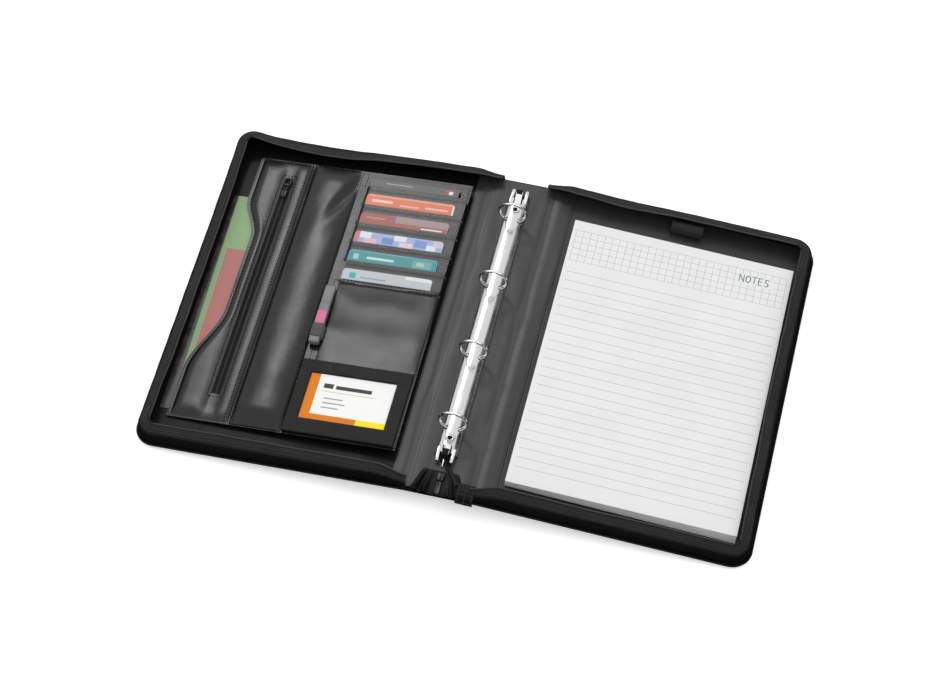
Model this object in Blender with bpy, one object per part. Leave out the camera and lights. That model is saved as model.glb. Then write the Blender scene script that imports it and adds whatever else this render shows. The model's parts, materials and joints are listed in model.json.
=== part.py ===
"""Zip-around A4 portfolio case with a four-ring mechanism, lying open.

The frame has its origin under the middle of the spine, on the surface that the
case lies on. X runs across the spine to the note pad, Y runs up the page and
Z points up. The two covers slope down from the spine by COVER_SLOPE, so the
case stands on their outer edges. Everything on the back cover (right) is built
in the frame of its hinge: u outwards from the hinge, v along it, w above the
outer skin. The front cover (left) uses the same frame with x mirrored, and
the organiser has a frame of its own, hinged along its outer edge.
"""

import math

import bmesh
import bpy
from mathutils import Vector

MM = 0.001

# Case
SPINE_HALF = 30 * MM            # hinge axis to the middle of the spine
COVER_WIDTH = 253 * MM          # hinge axis to the outermost edge
HALF_LENGTH = 181.5 * MM
CORNER_RADIUS = 20 * MM
COVER_SLOPE = math.radians(3.6)
GAP = 0.3 * MM                  # between parts that touch

# Layers of a cover, from the outside in
SKIN = 1.0 * MM
BOARD = 1.6 * MM
LINING = 0.6 * MM
BOARD_LOW = SKIN + GAP
LINING_LOW = BOARD_LOW + BOARD + GAP
LINING_TOP = LINING_LOW + LINING
HINGE_GAP = 4.6 * MM            # from a hinge axis to the boards beside it
HINGE_SKIN = 0.35 * MM          # kept clear between the spine's skin and a cover's
BOARD_INSET = 3 * MM            # board stops this far inside the skin
SKIN_EDGE = 1.5 * MM            # skin stops this far inside the piping
SPINE_HEIGHT = (COVER_WIDTH - SKIN_EDGE) * math.sin(COVER_SLOPE)

# Zip gusset round three sides of each cover
GUSSET_START = 12 * MM          # distance from the hinge
PIPING_RADIUS = 1.1 * MM
PIPING_INSET = 1.2 * MM
PIPING_HEIGHT = 2.6 * MM
BAND_INSET = 2.7 * MM
BAND_THICK = 1.2 * MM
BAND_TOP = 16 * MM
BAND_LEAN = 3.2 * MM            # how far the top of the band leans in
TAPE_END_INSET = 14 * MM
TAPE_END_HEIGHT = 18.6 * MM
TAPE_THICK = 0.8 * MM

# Ring mechanism
RING_X = -1.0 * MM
RING_Y = 7.5 * MM
RING_PITCHES = (-120 * MM, -40 * MM, 40 * MM, 120 * MM)
RING_RADIUS = 13 * MM
RING_HEIGHT = 21.5 * MM         # centre of the rings above the skin
WIRE_RADIUS = 1.5 * MM
HOUSING_HALF_WIDTH = 10.8 * MM
HOUSING_HALF_LENGTH = 146 * MM
HOUSING_BASE = LINING_TOP + GAP
HOUSING_EDGE = 5.5 * MM
HOUSING_TOP = 11.6 * MM
HOUSING_WALL = 1.0 * MM
BLADE_PIVOT_X = 8.5 * MM
BLADE_PIVOT_Z = 5.5 * MM
BLADE_THICK = 1.0 * MM
BLADE_HALF_LENGTH = 128 * MM
RING_FOOT_X = 6.2 * MM
LEVER_PIVOT_Y = 137 * MM
LEVER_PIVOT_Z = 8 * MM
LEVER_WIDTH = 6.6 * MM
LEVER_SECTION = (               # millimetres outwards and up from the pivot
    (-4, -0.9),
    (4, -0.9),
    (10, 2.5),
    (14, 7.5),
    (12.4, 8.5),
    (8.6, 4),
    (3.4, 0.9),
    (-4, 0.9),
)
NOTCH_HALF_WIDTH = 4.2 * MM
NOTCH_LENGTH = 15 * MM
RIVET_Y = 131.5 * MM
RIVET_HEIGHT = 1.2 * MM
WIRE_SLOT = (4.8 * MM, 4.2 * MM)
WIRE_SLOT_X = 6.9 * MM
CUT_DEPTH = 12 * MM

# Note pad on the back cover
PAD_U = 25.9 * MM
PAD_V = -156 * MM
PAD_WIDTH = 210 * MM
PAD_LENGTH = 297 * MM
POCKET_PANEL = 0.6 * MM
BACKING_CARD = 0.5 * MM
PAGES = 7.0 * MM
PAD_POCKET_SIDE = 5.2 * MM      # pocket panel beyond the pad, towards the spine
PAD_POCKET_OUTER = 4 * MM       # beyond the pad's outer edge
PAD_POCKET_LENGTH = 205 * MM
TOP_SHEET = 0.2 * MM
PEN_LOOP_U = (115 * MM, 145 * MM)
PEN_LOOP_V = 162.3 * MM
PEN_LOOP_OUTER = 5.5 * MM
PEN_LOOP_INNER = 4.7 * MM
LOOP_SIDES = 12

# Main zip slider, parked at the foot of the spine
MAIN_SLIDER_SIZE = (9 * MM, 8 * MM, 3.6 * MM)
MAIN_SLIDER_Y = -162.5 * MM
MAIN_PULLER_Y = -168 * MM
MAIN_PULLER_UP = 2.4 * MM
MAIN_PULLER_LENGTH = 12.5 * MM
PULLER_HALF_WIDTH = 3 * MM
PULLER_THICK = 1 * MM
PULLER_HOLE = 1.5 * MM
PULLER_HOLE_INSET = 4 * MM
SPINE_FOLD_V = (-179 * MM, -168 * MM)
SPINE_FOLD_OUTER = (-24 * MM, 24 * MM)
SPINE_FOLD_INNER = (-18 * MM, 15 * MM)
FOLD_THICK = 1.2 * MM

# Organiser on the front cover: x from its outer edge towards the spine
ORGANISER_U = (15 * MM, 231 * MM)
ORGANISER_V = (-148.5 * MM, 156.5 * MM)
ORGANISER_LOW = 5.0 * MM
ORGANISER_LIFT = math.radians(1.85)
PANEL = 0.7 * MM
BROCHURE = 0.5 * MM
BROCHURE_U = (140 * MM, 238 * MM)
BROCHURE_V = (-140 * MM, 108 * MM)
CUT_OUT_HEAD = 7 * MM           # inset of the outer edge above, inside and below the cut-out
CUT_OUT_DEPTH = 22 * MM
CUT_OUT_FOOT = 2 * MM
CUT_OUT_UPPER = (62 * MM, 106 * MM)
CUT_OUT_LOWER = (-96 * MM, -24 * MM)
CUT_OUT_STEPS = 32
ZIP_SLOT_U = 191 * MM
ZIP_SLOT_WIDTH = 9 * MM
ZIP_SLOT_V = (-118.5 * MM, 135.5 * MM)
POCKET_SLIDER_SIZE = (9 * MM, 6.6 * MM, 2.6 * MM)
POCKET_SLIDER_V = 116 * MM
POCKET_PULLER_V = 121.2 * MM
POCKET_PULLER_UP = 1.4 * MM
POCKET_PULLER_LENGTH = 13 * MM
SOFT_PANEL_U = (125 * MM, 166 * MM)
SOFT_PANEL = 0.8 * MM
SOFT_PANEL_INSET = 1 * MM
CARD_SIZE = (85.6 * MM, 54 * MM)
CARD_THICK = 0.6 * MM
CARD_U = 25 * MM
CARD_TOP_V = 150 * MM
CARD_PITCH = 22.35 * MM
CARD_SHOWN = 12.5 * MM
CARD_ROWS = 6
STRIP_THICK = 0.4 * MM
STRIP_U = (19 * MM, 110.9 * MM)
PANEL_BEND = 12 * MM            # length over which the lower panel climbs to the last card
PANEL_BEND_FOOT = 1.2 * MM
LAYER_STEP = CARD_THICK + STRIP_THICK + 2 * GAP
CARD_TILT = math.atan(LAYER_STEP / CARD_PITCH)
LOWER_PANEL_U = 109.5 * MM      # its outer edge stays clear of the stick's loop
USB_SIZE = (10 * MM, 66 * MM, 5.5 * MM)
USB_PLACE = (116.3 * MM, -18 * MM)
USB_LIFT = 1.6 * MM             # above the panel, on the back of its loop
USB_CORNER = 2 * MM
USB_LOOP_V = (-44 * MM, -30 * MM)
USB_LOOP_WALL = 0.8 * MM
USB_LOOP_BACK = 0.6 * MM
ID_CARD_SIZE = (85 * MM, 55 * MM)
ID_CARD_PLACE = (27 * MM, -133 * MM)
ID_FRAME_U = (17 * MM, 121 * MM)
ID_FRAME_V = (-147 * MM, -66.5 * MM)
ID_WINDOW_LAP = (4 * MM, 2 * MM)

BLACK = (0.012, 0.012, 0.013)
LINING_GREY = (0.03, 0.03, 0.032)
STEEL = (0.8, 0.8, 0.82)
CARD_COLOURS = (
    (0.3, 0.3, 0.32),
    (0.75, 0.3, 0.18),
    (0.5, 0.25, 0.2),
    (0.4, 0.45, 0.7),
    (0.15, 0.45, 0.42),
    (0.55, 0.58, 0.6),
)


def clear_scene():
    for thing in list(bpy.data.objects):
        bpy.data.objects.remove(thing, do_unlink=True)


def material(name, colour, roughness=0.5, metallic=0.0):
    made = bpy.data.materials.get(name) or bpy.data.materials.new(name)
    made.use_nodes = True
    shader = made.node_tree.nodes["Principled BSDF"]
    shader.inputs["Base Color"].default_value = (*colour, 1)
    shader.inputs["Roughness"].default_value = roughness
    shader.inputs["Metallic"].default_value = metallic
    return made


def leather():
    return material("black_leather", BLACK, 0.45)


def lining_cloth():
    return material("lining", LINING_GREY, 0.6)


def chrome():
    return material("chrome", STEEL, 0.12, 1.0)


def greyboard():
    return material("greyboard", (0.3, 0.28, 0.25), 0.9)


def zip_cloth():
    return material("zip_tape", (0.025, 0.025, 0.027), 0.7)


def zip_metal():
    return material("zip_metal", (0.35, 0.35, 0.36), 0.3, 1.0)


def elastic():
    return material("elastic", (0.02, 0.02, 0.021), 0.75)


def empty(name, location, rotation=(0, 0, 0), parent=None):
    made = bpy.data.objects.new(name, None)
    bpy.context.collection.objects.link(made)
    made.location = location
    made.rotation_euler = rotation
    made.parent = parent
    return made


def finish(name, work, look, parent=None, location=(0, 0, 0), smooth=False):
    """Turns a bmesh into a named object with outward faces."""
    bmesh.ops.recalc_face_normals(work, faces=work.faces)
    mesh = bpy.data.meshes.new(name)
    work.to_mesh(mesh)
    work.free()
    if smooth:
        mesh.shade_smooth()
        mesh.set_sharp_from_angle(angle=math.radians(35))
    made = bpy.data.objects.new(name, mesh)
    made.data.materials.append(look)
    made.parent = parent
    made.location = location
    bpy.context.collection.objects.link(made)
    return made


def extruded(outline, low, high):
    """A closed prism over an outline of (x, y) points."""
    work = bmesh.new()
    face = work.faces.new([work.verts.new((x, y, low)) for x, y in outline])
    grown = bmesh.ops.extrude_face_region(work, geom=[face])
    lifted = [item for item in grown["geom"] if isinstance(item, bmesh.types.BMVert)]
    bmesh.ops.translate(work, verts=lifted, vec=(0, 0, high - low))
    return work


def plate(name, outline, low, thick, look, parent=None, location=(0, 0, 0)):
    return finish(name, extruded(outline, low, low + thick), look, parent, location)


def lofted(loops, hollow=False):
    """Joins two loops of points into a closed prism, or four (out, in, out, in) into a tube."""
    work = bmesh.new()
    rings = [[work.verts.new(point) for point in loop] for loop in loops]
    pairs = [(rings[0], rings[1])]
    if hollow:
        near_out, near_in, far_out, far_in = rings
        pairs = [(near_out, far_out), (near_in, far_in), (near_out, near_in), (far_out, far_in)]
    count = len(rings[0])
    for first, second in pairs:
        for i in range(count):
            j = (i + 1) % count
            work.faces.new((first[i], first[j], second[j], second[i]))
    if not hollow:
        work.faces.new(rings[0])
        work.faces.new(rings[1])
    return work


def rectangle(x0, x1, y0, y1):
    return [(x0, y0), (x1, y0), (x1, y1), (x0, y1)]


def arc(centre, radius, start, end, steps):
    """Points on an arc between two angles in degrees, both ends included."""
    points = []
    for step in range(steps + 1):
        angle = math.radians(start + (end - start) * step / steps)
        x = centre[0] + radius * math.cos(angle)
        points.append((x, centre[1] + radius * math.sin(angle)))
    return points


def rounded_rectangle(x0, x1, y0, y1, radius, steps=3):
    points = arc((x1 - radius, y0 + radius), radius, -90, 0, steps)
    points += arc((x1 - radius, y1 - radius), radius, 0, 90, steps)
    points += arc((x0 + radius, y1 - radius), radius, 90, 180, steps)
    points += arc((x0 + radius, y0 + radius), radius, 180, 270, steps)
    return points


def cover_edge(inset, start, steps=5):
    """The U of a cover's free edges, inset from the outermost line, from back to front."""
    radius = CORNER_RADIUS - inset
    centre_u = COVER_WIDTH - CORNER_RADIUS
    centre_v = HALF_LENGTH - CORNER_RADIUS
    points = [(start, HALF_LENGTH - inset)]
    points += arc((centre_u, centre_v), radius, 90, 0, steps)
    points += arc((centre_u, -centre_v), radius, 0, -90, steps)
    points.append((start, inset - HALF_LENGTH))
    return points


def swept_edge(name, profile, start, side, look, parent):
    """Sweeps a closed (inset, height) profile along the U of a cover."""
    work = bmesh.new()
    rails = []
    for inset, height in profile:
        path = cover_edge(inset, start)
        rails.append([work.verts.new((side * u, v, height)) for u, v in path])
    count = len(profile)
    for j in range(count):
        near, far = rails[j], rails[(j + 1) % count]
        for i in range(len(near) - 1):
            work.faces.new((near[i], near[i + 1], far[i + 1], far[i]))
    work.faces.new([rail[0] for rail in rails])
    work.faces.new([rail[-1] for rail in rails])
    return finish(name, work, look, parent, smooth=True)


def strip_profile(line, thick):
    """A closed profile: a line of (inset, height) points given a thickness inwards."""
    inner = []
    for index, (inset, height) in enumerate(line):
        before = Vector(line[max(index - 1, 0)])
        after = Vector(line[min(index + 1, len(line) - 1)])
        along = (after - before).normalized()
        inner.append((inset + along.y * thick, height - along.x * thick))
    return list(line) + inner[::-1]


def cover_layers(word, side, parent):
    """Skin, board and lining of one cover, and the gusset round its free edges."""
    inner = BAND_INSET + BAND_THICK + 2 * GAP
    layers = (
        ("outer_cover_" + word, 0, SKIN, 0, leather()),
        ("board_" + word, BOARD_LOW, BOARD, BOARD_INSET, greyboard()),
        ("lining_" + word, LINING_LOW, LINING, inner - SKIN_EDGE, lining_cloth()),
    )
    for name, low, thick, inset, look in layers:
        points = cover_edge(SKIN_EDGE + inset, HINGE_GAP)
        outline = [(side * u, v) for u, v in points]
        plate(name, outline, low, thick, look, parent)
    round_cord = arc((PIPING_INSET, PIPING_HEIGHT), PIPING_RADIUS, 0, 300, 5)
    swept_edge("piping_" + word, round_cord, HINGE_GAP, side, leather(), parent)
    wall = [
        (BAND_INSET, BOARD_LOW),
        (BAND_INSET, 0.6 * BAND_TOP),
        (BAND_INSET + 1.2 * MM, 0.87 * BAND_TOP),
        (BAND_INSET + BAND_LEAN, BAND_TOP),
    ]
    band = strip_profile(wall, BAND_THICK)
    swept_edge("gusset_band_" + word, band, GUSSET_START, side, leather(), parent)
    tape_start = BAND_INSET + BAND_LEAN + 3 * GAP
    tape = [
        (tape_start, BAND_TOP + GAP),
        (tape_start + 3 * MM, BAND_TOP + 1.6 * MM),
        (TAPE_END_INSET - 3 * MM, TAPE_END_HEIGHT),
        (TAPE_END_INSET, TAPE_END_HEIGHT + GAP),
    ]
    tape = strip_profile(tape, TAPE_THICK)
    swept_edge("zip_tape_" + word, tape, GUSSET_START, side, zip_cloth(), parent)


def spine_layers(parent):
    """Skin, board and lining of the spine, and the gusset folded in at its foot."""
    width = SPINE_HALF + HINGE_GAP - HINGE_SKIN
    half = HALF_LENGTH - SKIN_EDGE
    outline = rectangle(-width, width, -half, half)
    plate("outer_spine", outline, 0, SKIN, leather(), parent)
    width = SPINE_HALF - HINGE_GAP
    half -= BOARD_INSET
    outline = rectangle(-width, width, -half, half)
    plate("board_spine", outline, BOARD_LOW, BOARD, greyboard(), parent)
    plate("lining_spine", outline, LINING_LOW, LINING, lining_cloth(), parent)
    outer, inner = SPINE_FOLD_V
    fold = [(SPINE_FOLD_OUTER[0], outer), (SPINE_FOLD_OUTER[1], outer)]
    fold += [(SPINE_FOLD_INNER[1], inner), (SPINE_FOLD_INNER[0], inner)]
    plate("spine_end_gusset", fold, LINING_TOP + GAP, FOLD_THICK, leather(), parent)


def housing_arc(radius_less, steps):
    """The arched section of the ring housing, from right to left."""
    rise = HOUSING_TOP - HOUSING_EDGE
    radius = (HOUSING_HALF_WIDTH ** 2 + rise ** 2) / (2 * rise)
    reach = math.degrees(math.asin(HOUSING_HALF_WIDTH / radius))
    centre = (0, HOUSING_TOP - radius)
    return arc(centre, radius - radius_less, 90 - reach, 90 + reach, steps)


def cutter(name, size, location, parent):
    work = bmesh.new()
    bmesh.ops.create_cube(work, size=1)
    bmesh.ops.scale(work, vec=size, verts=work.verts)
    made = finish(name, work, chrome(), parent, location)
    made.hide_render = True
    made.display_type = "WIRE"
    return made


def subtract(solid, drill):
    cut = solid.modifiers.new("Cut", "BOOLEAN")
    cut.operation = "DIFFERENCE"
    cut.solver = "EXACT"
    cut.object = drill


def ring_housing(parent):
    """An arched steel channel with a slot for each wire and a notch for each lever."""
    outer = housing_arc(0, 8)
    inner = housing_arc(HOUSING_WALL, 8)
    section = [(HOUSING_HALF_WIDTH, HOUSING_BASE)] + outer
    section += [(-HOUSING_HALF_WIDTH, HOUSING_BASE)]
    section += [(HOUSING_WALL - HOUSING_HALF_WIDTH, HOUSING_BASE)] + inner[::-1]
    section += [(HOUSING_HALF_WIDTH - HOUSING_WALL, HOUSING_BASE)]
    ends = [[(x, y, z) for x, z in section] for y in (-HOUSING_HALF_LENGTH, HOUSING_HALF_LENGTH)]
    housing = finish("ring_housing", lofted(ends), chrome(), parent, smooth=True)
    slot = (*WIRE_SLOT, CUT_DEPTH)
    cuts = [(slot, side * WIRE_SLOT_X, y) for y in RING_PITCHES for side in (-1, 1)]
    notch = (2 * NOTCH_HALF_WIDTH, 2 * NOTCH_LENGTH, CUT_DEPTH)
    cuts += [(notch, 0, side * HOUSING_HALF_LENGTH) for side in (-1, 1)]
    for index, (size, x, y) in enumerate(cuts):
        name = f"housing_cutter_{index}"
        subtract(housing, cutter(name, size, (x, y, HOUSING_TOP), parent))


def half_ring(name, y, side, parent, pivot):
    """One round wire from its blade to the middle of the ring."""
    points = [(RING_FOOT_X, BLADE_PIVOT_Z + BLADE_THICK / 2 + GAP), (6.3 * MM, 9 * MM)]
    points += arc((0, RING_HEIGHT), RING_RADIUS, -60, 89, 12)
    curve = bpy.data.curves.new(name, "CURVE")
    curve.dimensions = "3D"
    curve.bevel_depth = WIRE_RADIUS
    curve.bevel_resolution = 1
    curve.use_fill_caps = True
    line = curve.splines.new("POLY")
    line.points.add(len(points) - 1)
    for point, (x, z) in zip(line.points, points):
        point.co = (side * x - pivot[0], y, z - pivot[1], 1)
    curve.materials.append(chrome())
    made = bpy.data.objects.new(name, curve)
    made.parent = parent
    bpy.context.collection.objects.link(made)


def ring_side(word, side, frame):
    """A blade and its four half rings, turning about the blade's outer edge."""
    pivot = (side * BLADE_PIVOT_X, BLADE_PIVOT_Z)
    hinge = empty(f"ring_{word}_axis", (pivot[0], 0, pivot[1]), parent=frame)
    inside = side * GAP - pivot[0]
    across = sorted((inside, 0))
    outline = rectangle(*across, -BLADE_HALF_LENGTH, BLADE_HALF_LENGTH)
    zinc = material("zinc", (0.6, 0.6, 0.62), 0.35, 1.0)
    plate(f"ring_blade_{word}", outline, -BLADE_THICK / 2, BLADE_THICK, zinc, hinge)
    for index, y in enumerate(RING_PITCHES):
        half_ring(f"ring_half_{word}_{index + 1}", y, side, hinge, pivot)


def lever(name, end, frame):
    """A trigger at one end of the housing: a bent tongue with a raised tip."""
    hinge = empty(name + "_axis", (0, end * LEVER_PIVOT_Y, LEVER_PIVOT_Z), parent=frame)
    sides = []
    for x in (-LEVER_WIDTH / 2, LEVER_WIDTH / 2):
        sides.append([(x, end * out * MM, up * MM) for out, up in LEVER_SECTION])
    finish(name, lofted(sides), chrome(), hinge)


def rivet(name, y, parent):
    """A round rivet head, wider at its foot."""
    work = bmesh.new()
    bmesh.ops.create_cone(
        work,
        cap_ends=True,
        segments=16,
        radius1=3.4 * MM,
        radius2=2.2 * MM,
        depth=RIVET_HEIGHT,
    )
    place = (0, y, HOUSING_TOP + GAP + RIVET_HEIGHT / 2)
    finish(name, work, chrome(), parent, place, smooth=True)


def ring_mechanism(parent):
    frame = empty("ring_frame", (RING_X, RING_Y, 0), parent=parent)
    ring_housing(frame)
    ring_side("left", -1, frame)
    ring_side("right", 1, frame)
    lever("lever_top", 1, frame)
    lever("lever_bottom", -1, frame)
    rivet("rivet_top", RIVET_Y, frame)
    rivet("rivet_bottom", -RIVET_Y, frame)


def puller(name, length, parent, direction):
    """A flat zip puller with a round hole, lying along Y from its hinge."""
    half = PULLER_HALF_WIDTH
    right = [(half * 0.8, 0), (half, length * 0.6), (half * 0.6, length)]
    left = [(-x, y) for x, y in reversed(right)]
    outline = [(x, direction * y) for x, y in right + left]
    made = plate(name, outline, -PULLER_THICK / 2, PULLER_THICK, chrome(), parent)
    work = bmesh.new()
    bmesh.ops.create_cone(
        work,
        cap_ends=True,
        segments=12,
        radius1=PULLER_HOLE,
        radius2=PULLER_HOLE,
        depth=6 * MM,
    )
    place = (0, direction * (length - PULLER_HOLE_INSET), 0)
    drill = finish(name + "_cutter", work, chrome(), parent, place)
    drill.hide_render = True
    drill.display_type = "WIRE"
    subtract(made, drill)


def slider_body(name, size, place, parent):
    """A zip slider: a plate narrowed at one end, with softened edges."""
    length, width, height = size
    half = width / 2
    right = [(half, -length / 2), (half, length * 0.1), (half * 0.6, length / 2)]
    left = [(-x, y) for x, y in reversed(right)]
    made = plate(name, right + left, 0, height, zip_metal(), parent, place)
    soft = made.modifiers.new("Soft edges", "BEVEL")
    soft.width = 0.6 * MM
    soft.segments = 1


def main_slider(parent):
    """The slider of the outer zip, parked at the foot of the spine, and its puller."""
    low = LINING_TOP + GAP
    slider_body("main_zip_slider", MAIN_SLIDER_SIZE, (0, MAIN_SLIDER_Y, low), parent)
    hinge = empty("main_puller_axis", (0, MAIN_PULLER_Y, low + MAIN_PULLER_UP), parent=parent)
    puller("main_zip_puller", MAIN_PULLER_LENGTH, hinge, -1)


def note_pad(parent):
    """The pad's leaves and backing card, with its tail in a flat pocket."""
    low = LINING_TOP + GAP
    paper = material("paper", (0.9, 0.9, 0.89), 0.8)
    card = material("backing_card", (0.45, 0.4, 0.33), 0.85)
    pocket_low = PAD_V - 5 * MM
    pocket = rectangle(
        PAD_U - PAD_POCKET_SIDE,
        PAD_U + PAD_WIDTH + PAD_POCKET_OUTER,
        pocket_low,
        pocket_low + PAD_POCKET_LENGTH,
    )
    plate("pad_pocket_panel", pocket, low, POCKET_PANEL, lining_cloth(), parent)
    sheet = rectangle(PAD_U, PAD_U + PAD_WIDTH, PAD_V, PAD_V + PAD_LENGTH)
    low += POCKET_PANEL + GAP
    plate("pad_backing_card", sheet, low, BACKING_CARD, card, parent)
    low += BACKING_CARD + GAP
    plate("pad_pages", sheet, low, PAGES, paper, parent)
    low += PAGES + GAP
    plate("pad_top_sheet", sheet, low, TOP_SHEET, paper, parent)


def pen_loop(parent):
    """A short tube of elastic, open at both ends along X."""
    centre = (PEN_LOOP_V, LINING_TOP + GAP + PEN_LOOP_OUTER)
    loops = []
    for u in PEN_LOOP_U:
        for radius in (PEN_LOOP_OUTER, PEN_LOOP_INNER):
            circle = arc(centre, radius, 0, 360, LOOP_SIDES)[:-1]
            loops.append([(u, v, w) for v, w in circle])
    finish("pen_loop", lofted(loops, hollow=True), elastic(), parent, smooth=True)


def brochure(parent):
    """A folded leaflet in the document pocket, behind the organiser's open edge."""
    outline = rectangle(-BROCHURE_U[1], -BROCHURE_U[0], *BROCHURE_V)
    paper = material("brochure", (0.25, 0.35, 0.2), 0.5)
    plate("brochure", outline, LINING_TOP + GAP, BROCHURE, paper, parent)


def from_outer_edge(u):
    """Distance from the organiser's outer edge, where its frame has its origin."""
    return ORGANISER_U[1] - u


def smooth(value):
    """0 below 0, 1 above 1, and an S-curve between."""
    value = min(max(value, 0), 1)
    return value * value * (3 - 2 * value)


def cut_out_inset(v):
    """How far the organiser's outer edge stands back at v, for the document pocket."""
    lower = smooth((v - CUT_OUT_LOWER[0]) / (CUT_OUT_LOWER[1] - CUT_OUT_LOWER[0]))
    upper = smooth((CUT_OUT_UPPER[1] - v) / (CUT_OUT_UPPER[1] - CUT_OUT_UPPER[0]))
    side = CUT_OUT_FOOT + (CUT_OUT_HEAD - CUT_OUT_FOOT) * lower
    return side + (CUT_OUT_DEPTH - CUT_OUT_HEAD) * lower * upper


def organiser_outline():
    """A rectangle whose outer edge has the curved cut-out of the document pocket."""
    width = ORGANISER_U[1] - ORGANISER_U[0]
    low, high = ORGANISER_V
    outline = [(width, low), (width, high)]
    for step in range(CUT_OUT_STEPS + 1):
        v = high + (low - high) * step / CUT_OUT_STEPS
        outline.append((cut_out_inset(v), v))
    return outline[::-1]


def zip_pocket(panel, parent):
    """The slot of the zipped pocket, with its tape, slider and puller."""
    x = from_outer_edge(ZIP_SLOT_U)
    low, high = ZIP_SLOT_V
    size = (ZIP_SLOT_WIDTH, high - low, CUT_DEPTH)
    subtract(panel, cutter("zip_slot_cutter", size, (x, (low + high) / 2, 0), parent))
    half = ZIP_SLOT_WIDTH / 2 - GAP
    outline = rectangle(x - half, x + half, low + GAP, high - GAP)
    plate("pocket_zip_tape", outline, 0, PANEL, zip_cloth(), parent)
    low = PANEL + GAP
    slider_body("pocket_zip_slider", POCKET_SLIDER_SIZE, (x, POCKET_SLIDER_V, low), parent)
    place = (x, POCKET_PULLER_V, low + POCKET_PULLER_UP)
    hinge = empty("pocket_puller_axis", place, parent=parent)
    puller("pocket_zip_puller", POCKET_PULLER_LENGTH, hinge, 1)


def bent_panel(name, line, thick, span, look, parent):
    """A sheet of even thickness over a line of (y, z) points, as wide as its span in x."""
    section = list(line) + [(y, z + thick) for y, z in reversed(line)]
    ends = [[(x, y, z) for y, z in section] for x in span]
    finish(name, lofted(ends), look, parent)


def card_rows(parent):
    """Shingled cards, each behind its own slot strip; the lowest strip is the pocket panel."""
    left = from_outer_edge(CARD_U + CARD_SIZE[0])
    right = from_outer_edge(CARD_U)
    strip_left = from_outer_edge(STRIP_U[1])
    strip_right = from_outer_edge(STRIP_U[0])
    for row in range(CARD_ROWS):
        top = CARD_TOP_V - row * CARD_PITCH
        bottom = top - CARD_SIZE[1]
        tilt = (CARD_TILT, 0, 0)
        layer = empty(f"card_row_{row + 1}", (0, bottom, PANEL + GAP), tilt, parent)
        card = rectangle(left, right, 0, CARD_SIZE[1])
        look = material(f"card_{row + 1}", CARD_COLOURS[row], 0.35)
        plate(f"card_{row + 1}", card, 0, CARD_THICK, look, layer)
        strip_top = CARD_SIZE[1] - CARD_SHOWN
        strip_bottom = strip_top - CARD_PITCH + GAP
        strip_low = CARD_THICK + GAP
        if row < CARD_ROWS - 1:
            strip = rectangle(strip_left, strip_right, strip_bottom, strip_top)
            plate(f"card_slot_{row + 1}", strip, strip_low, STRIP_THICK, leather(), layer)
            continue
        low = PANEL + GAP
        foot = bottom - PANEL_BEND_FOOT
        rise = strip_top * math.sin(CARD_TILT)
        line = [(ID_FRAME_V[0], low), (foot - PANEL_BEND, low), (foot, low + strip_low)]
        line.append((bottom + strip_top, low + strip_low + rise))
        span = (from_outer_edge(LOWER_PANEL_U), strip_right)
        bent_panel("lower_pocket_panel", line, STRIP_THICK, span, leather(), parent)


def id_window(parent):
    """The business card under its frame, on the lower pocket panel."""
    low = PANEL + STRIP_THICK + 2 * GAP
    x1 = from_outer_edge(ID_CARD_PLACE[0])
    x0 = x1 - ID_CARD_SIZE[0]
    y0 = ID_CARD_PLACE[1]
    y1 = y0 + ID_CARD_SIZE[1]
    card = material("business_card", (0.85, 0.85, 0.84), 0.5)
    plate("business_card", rectangle(x0, x1, y0, y1), low, CARD_THICK, card, parent)
    low += CARD_THICK + GAP
    frame_x = (from_outer_edge(ID_FRAME_U[1]), from_outer_edge(ID_FRAME_U[0]))
    outline = rectangle(*frame_x, *ID_FRAME_V)
    frame = plate("id_window_frame", outline, low, STRIP_THICK, leather(), parent)
    size = (ID_CARD_SIZE[0] - ID_WINDOW_LAP[0], ID_CARD_SIZE[1] - ID_WINDOW_LAP[1], CUT_DEPTH)
    place = ((x0 + x1) / 2, (y0 + y1) / 2, low)
    subtract(frame, cutter("id_window_cutter", size, place, parent))


def usb_stick(parent):
    """A flat memory stick held by an elastic loop beside the card slots."""
    x = from_outer_edge(USB_PLACE[0])
    width, length, height = USB_SIZE
    low = PANEL + GAP + USB_LIFT
    outline = rounded_rectangle(-width / 2, width / 2, -length / 2, length / 2, USB_CORNER)
    grey = material("usb_grey", (0.16, 0.16, 0.17), 0.4)
    plate("usb_stick", outline, 0, height, grey, parent, (x, USB_PLACE[1], low))
    inner = width / 2 + GAP
    outer = inner + USB_LOOP_WALL
    floor = low - GAP
    roof = low + height + GAP
    section = rectangle(-outer, outer, floor - USB_LOOP_BACK, roof + USB_LOOP_BACK)
    hole = rectangle(-inner, inner, floor, roof)
    loops = []
    for y in USB_LOOP_V:
        for loop in (section, hole):
            loops.append([(x + across, y, up) for across, up in loop])
    finish("usb_loop", lofted(loops, hollow=True), elastic(), parent)


def organiser(front):
    """The pocket panel with its zip, card slots, window and stick, hinged at its outer edge."""
    tilt = (0, -ORGANISER_LIFT, 0)
    frame = empty("organiser_axis", (-ORGANISER_U[1], 0, ORGANISER_LOW), tilt, front)
    panel = plate("organiser_panel", organiser_outline(), 0, PANEL, leather(), frame)
    zip_pocket(panel, frame)
    across = (from_outer_edge(SOFT_PANEL_U[1]), from_outer_edge(SOFT_PANEL_U[0]))
    low, high = ORGANISER_V
    middle = rectangle(*across, low + SOFT_PANEL_INSET, high - SOFT_PANEL_INSET)
    plate("soft_pocket_panel", middle, PANEL + GAP, SOFT_PANEL, leather(), frame)
    card_rows(frame)
    id_window(frame)
    usb_stick(frame)


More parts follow.
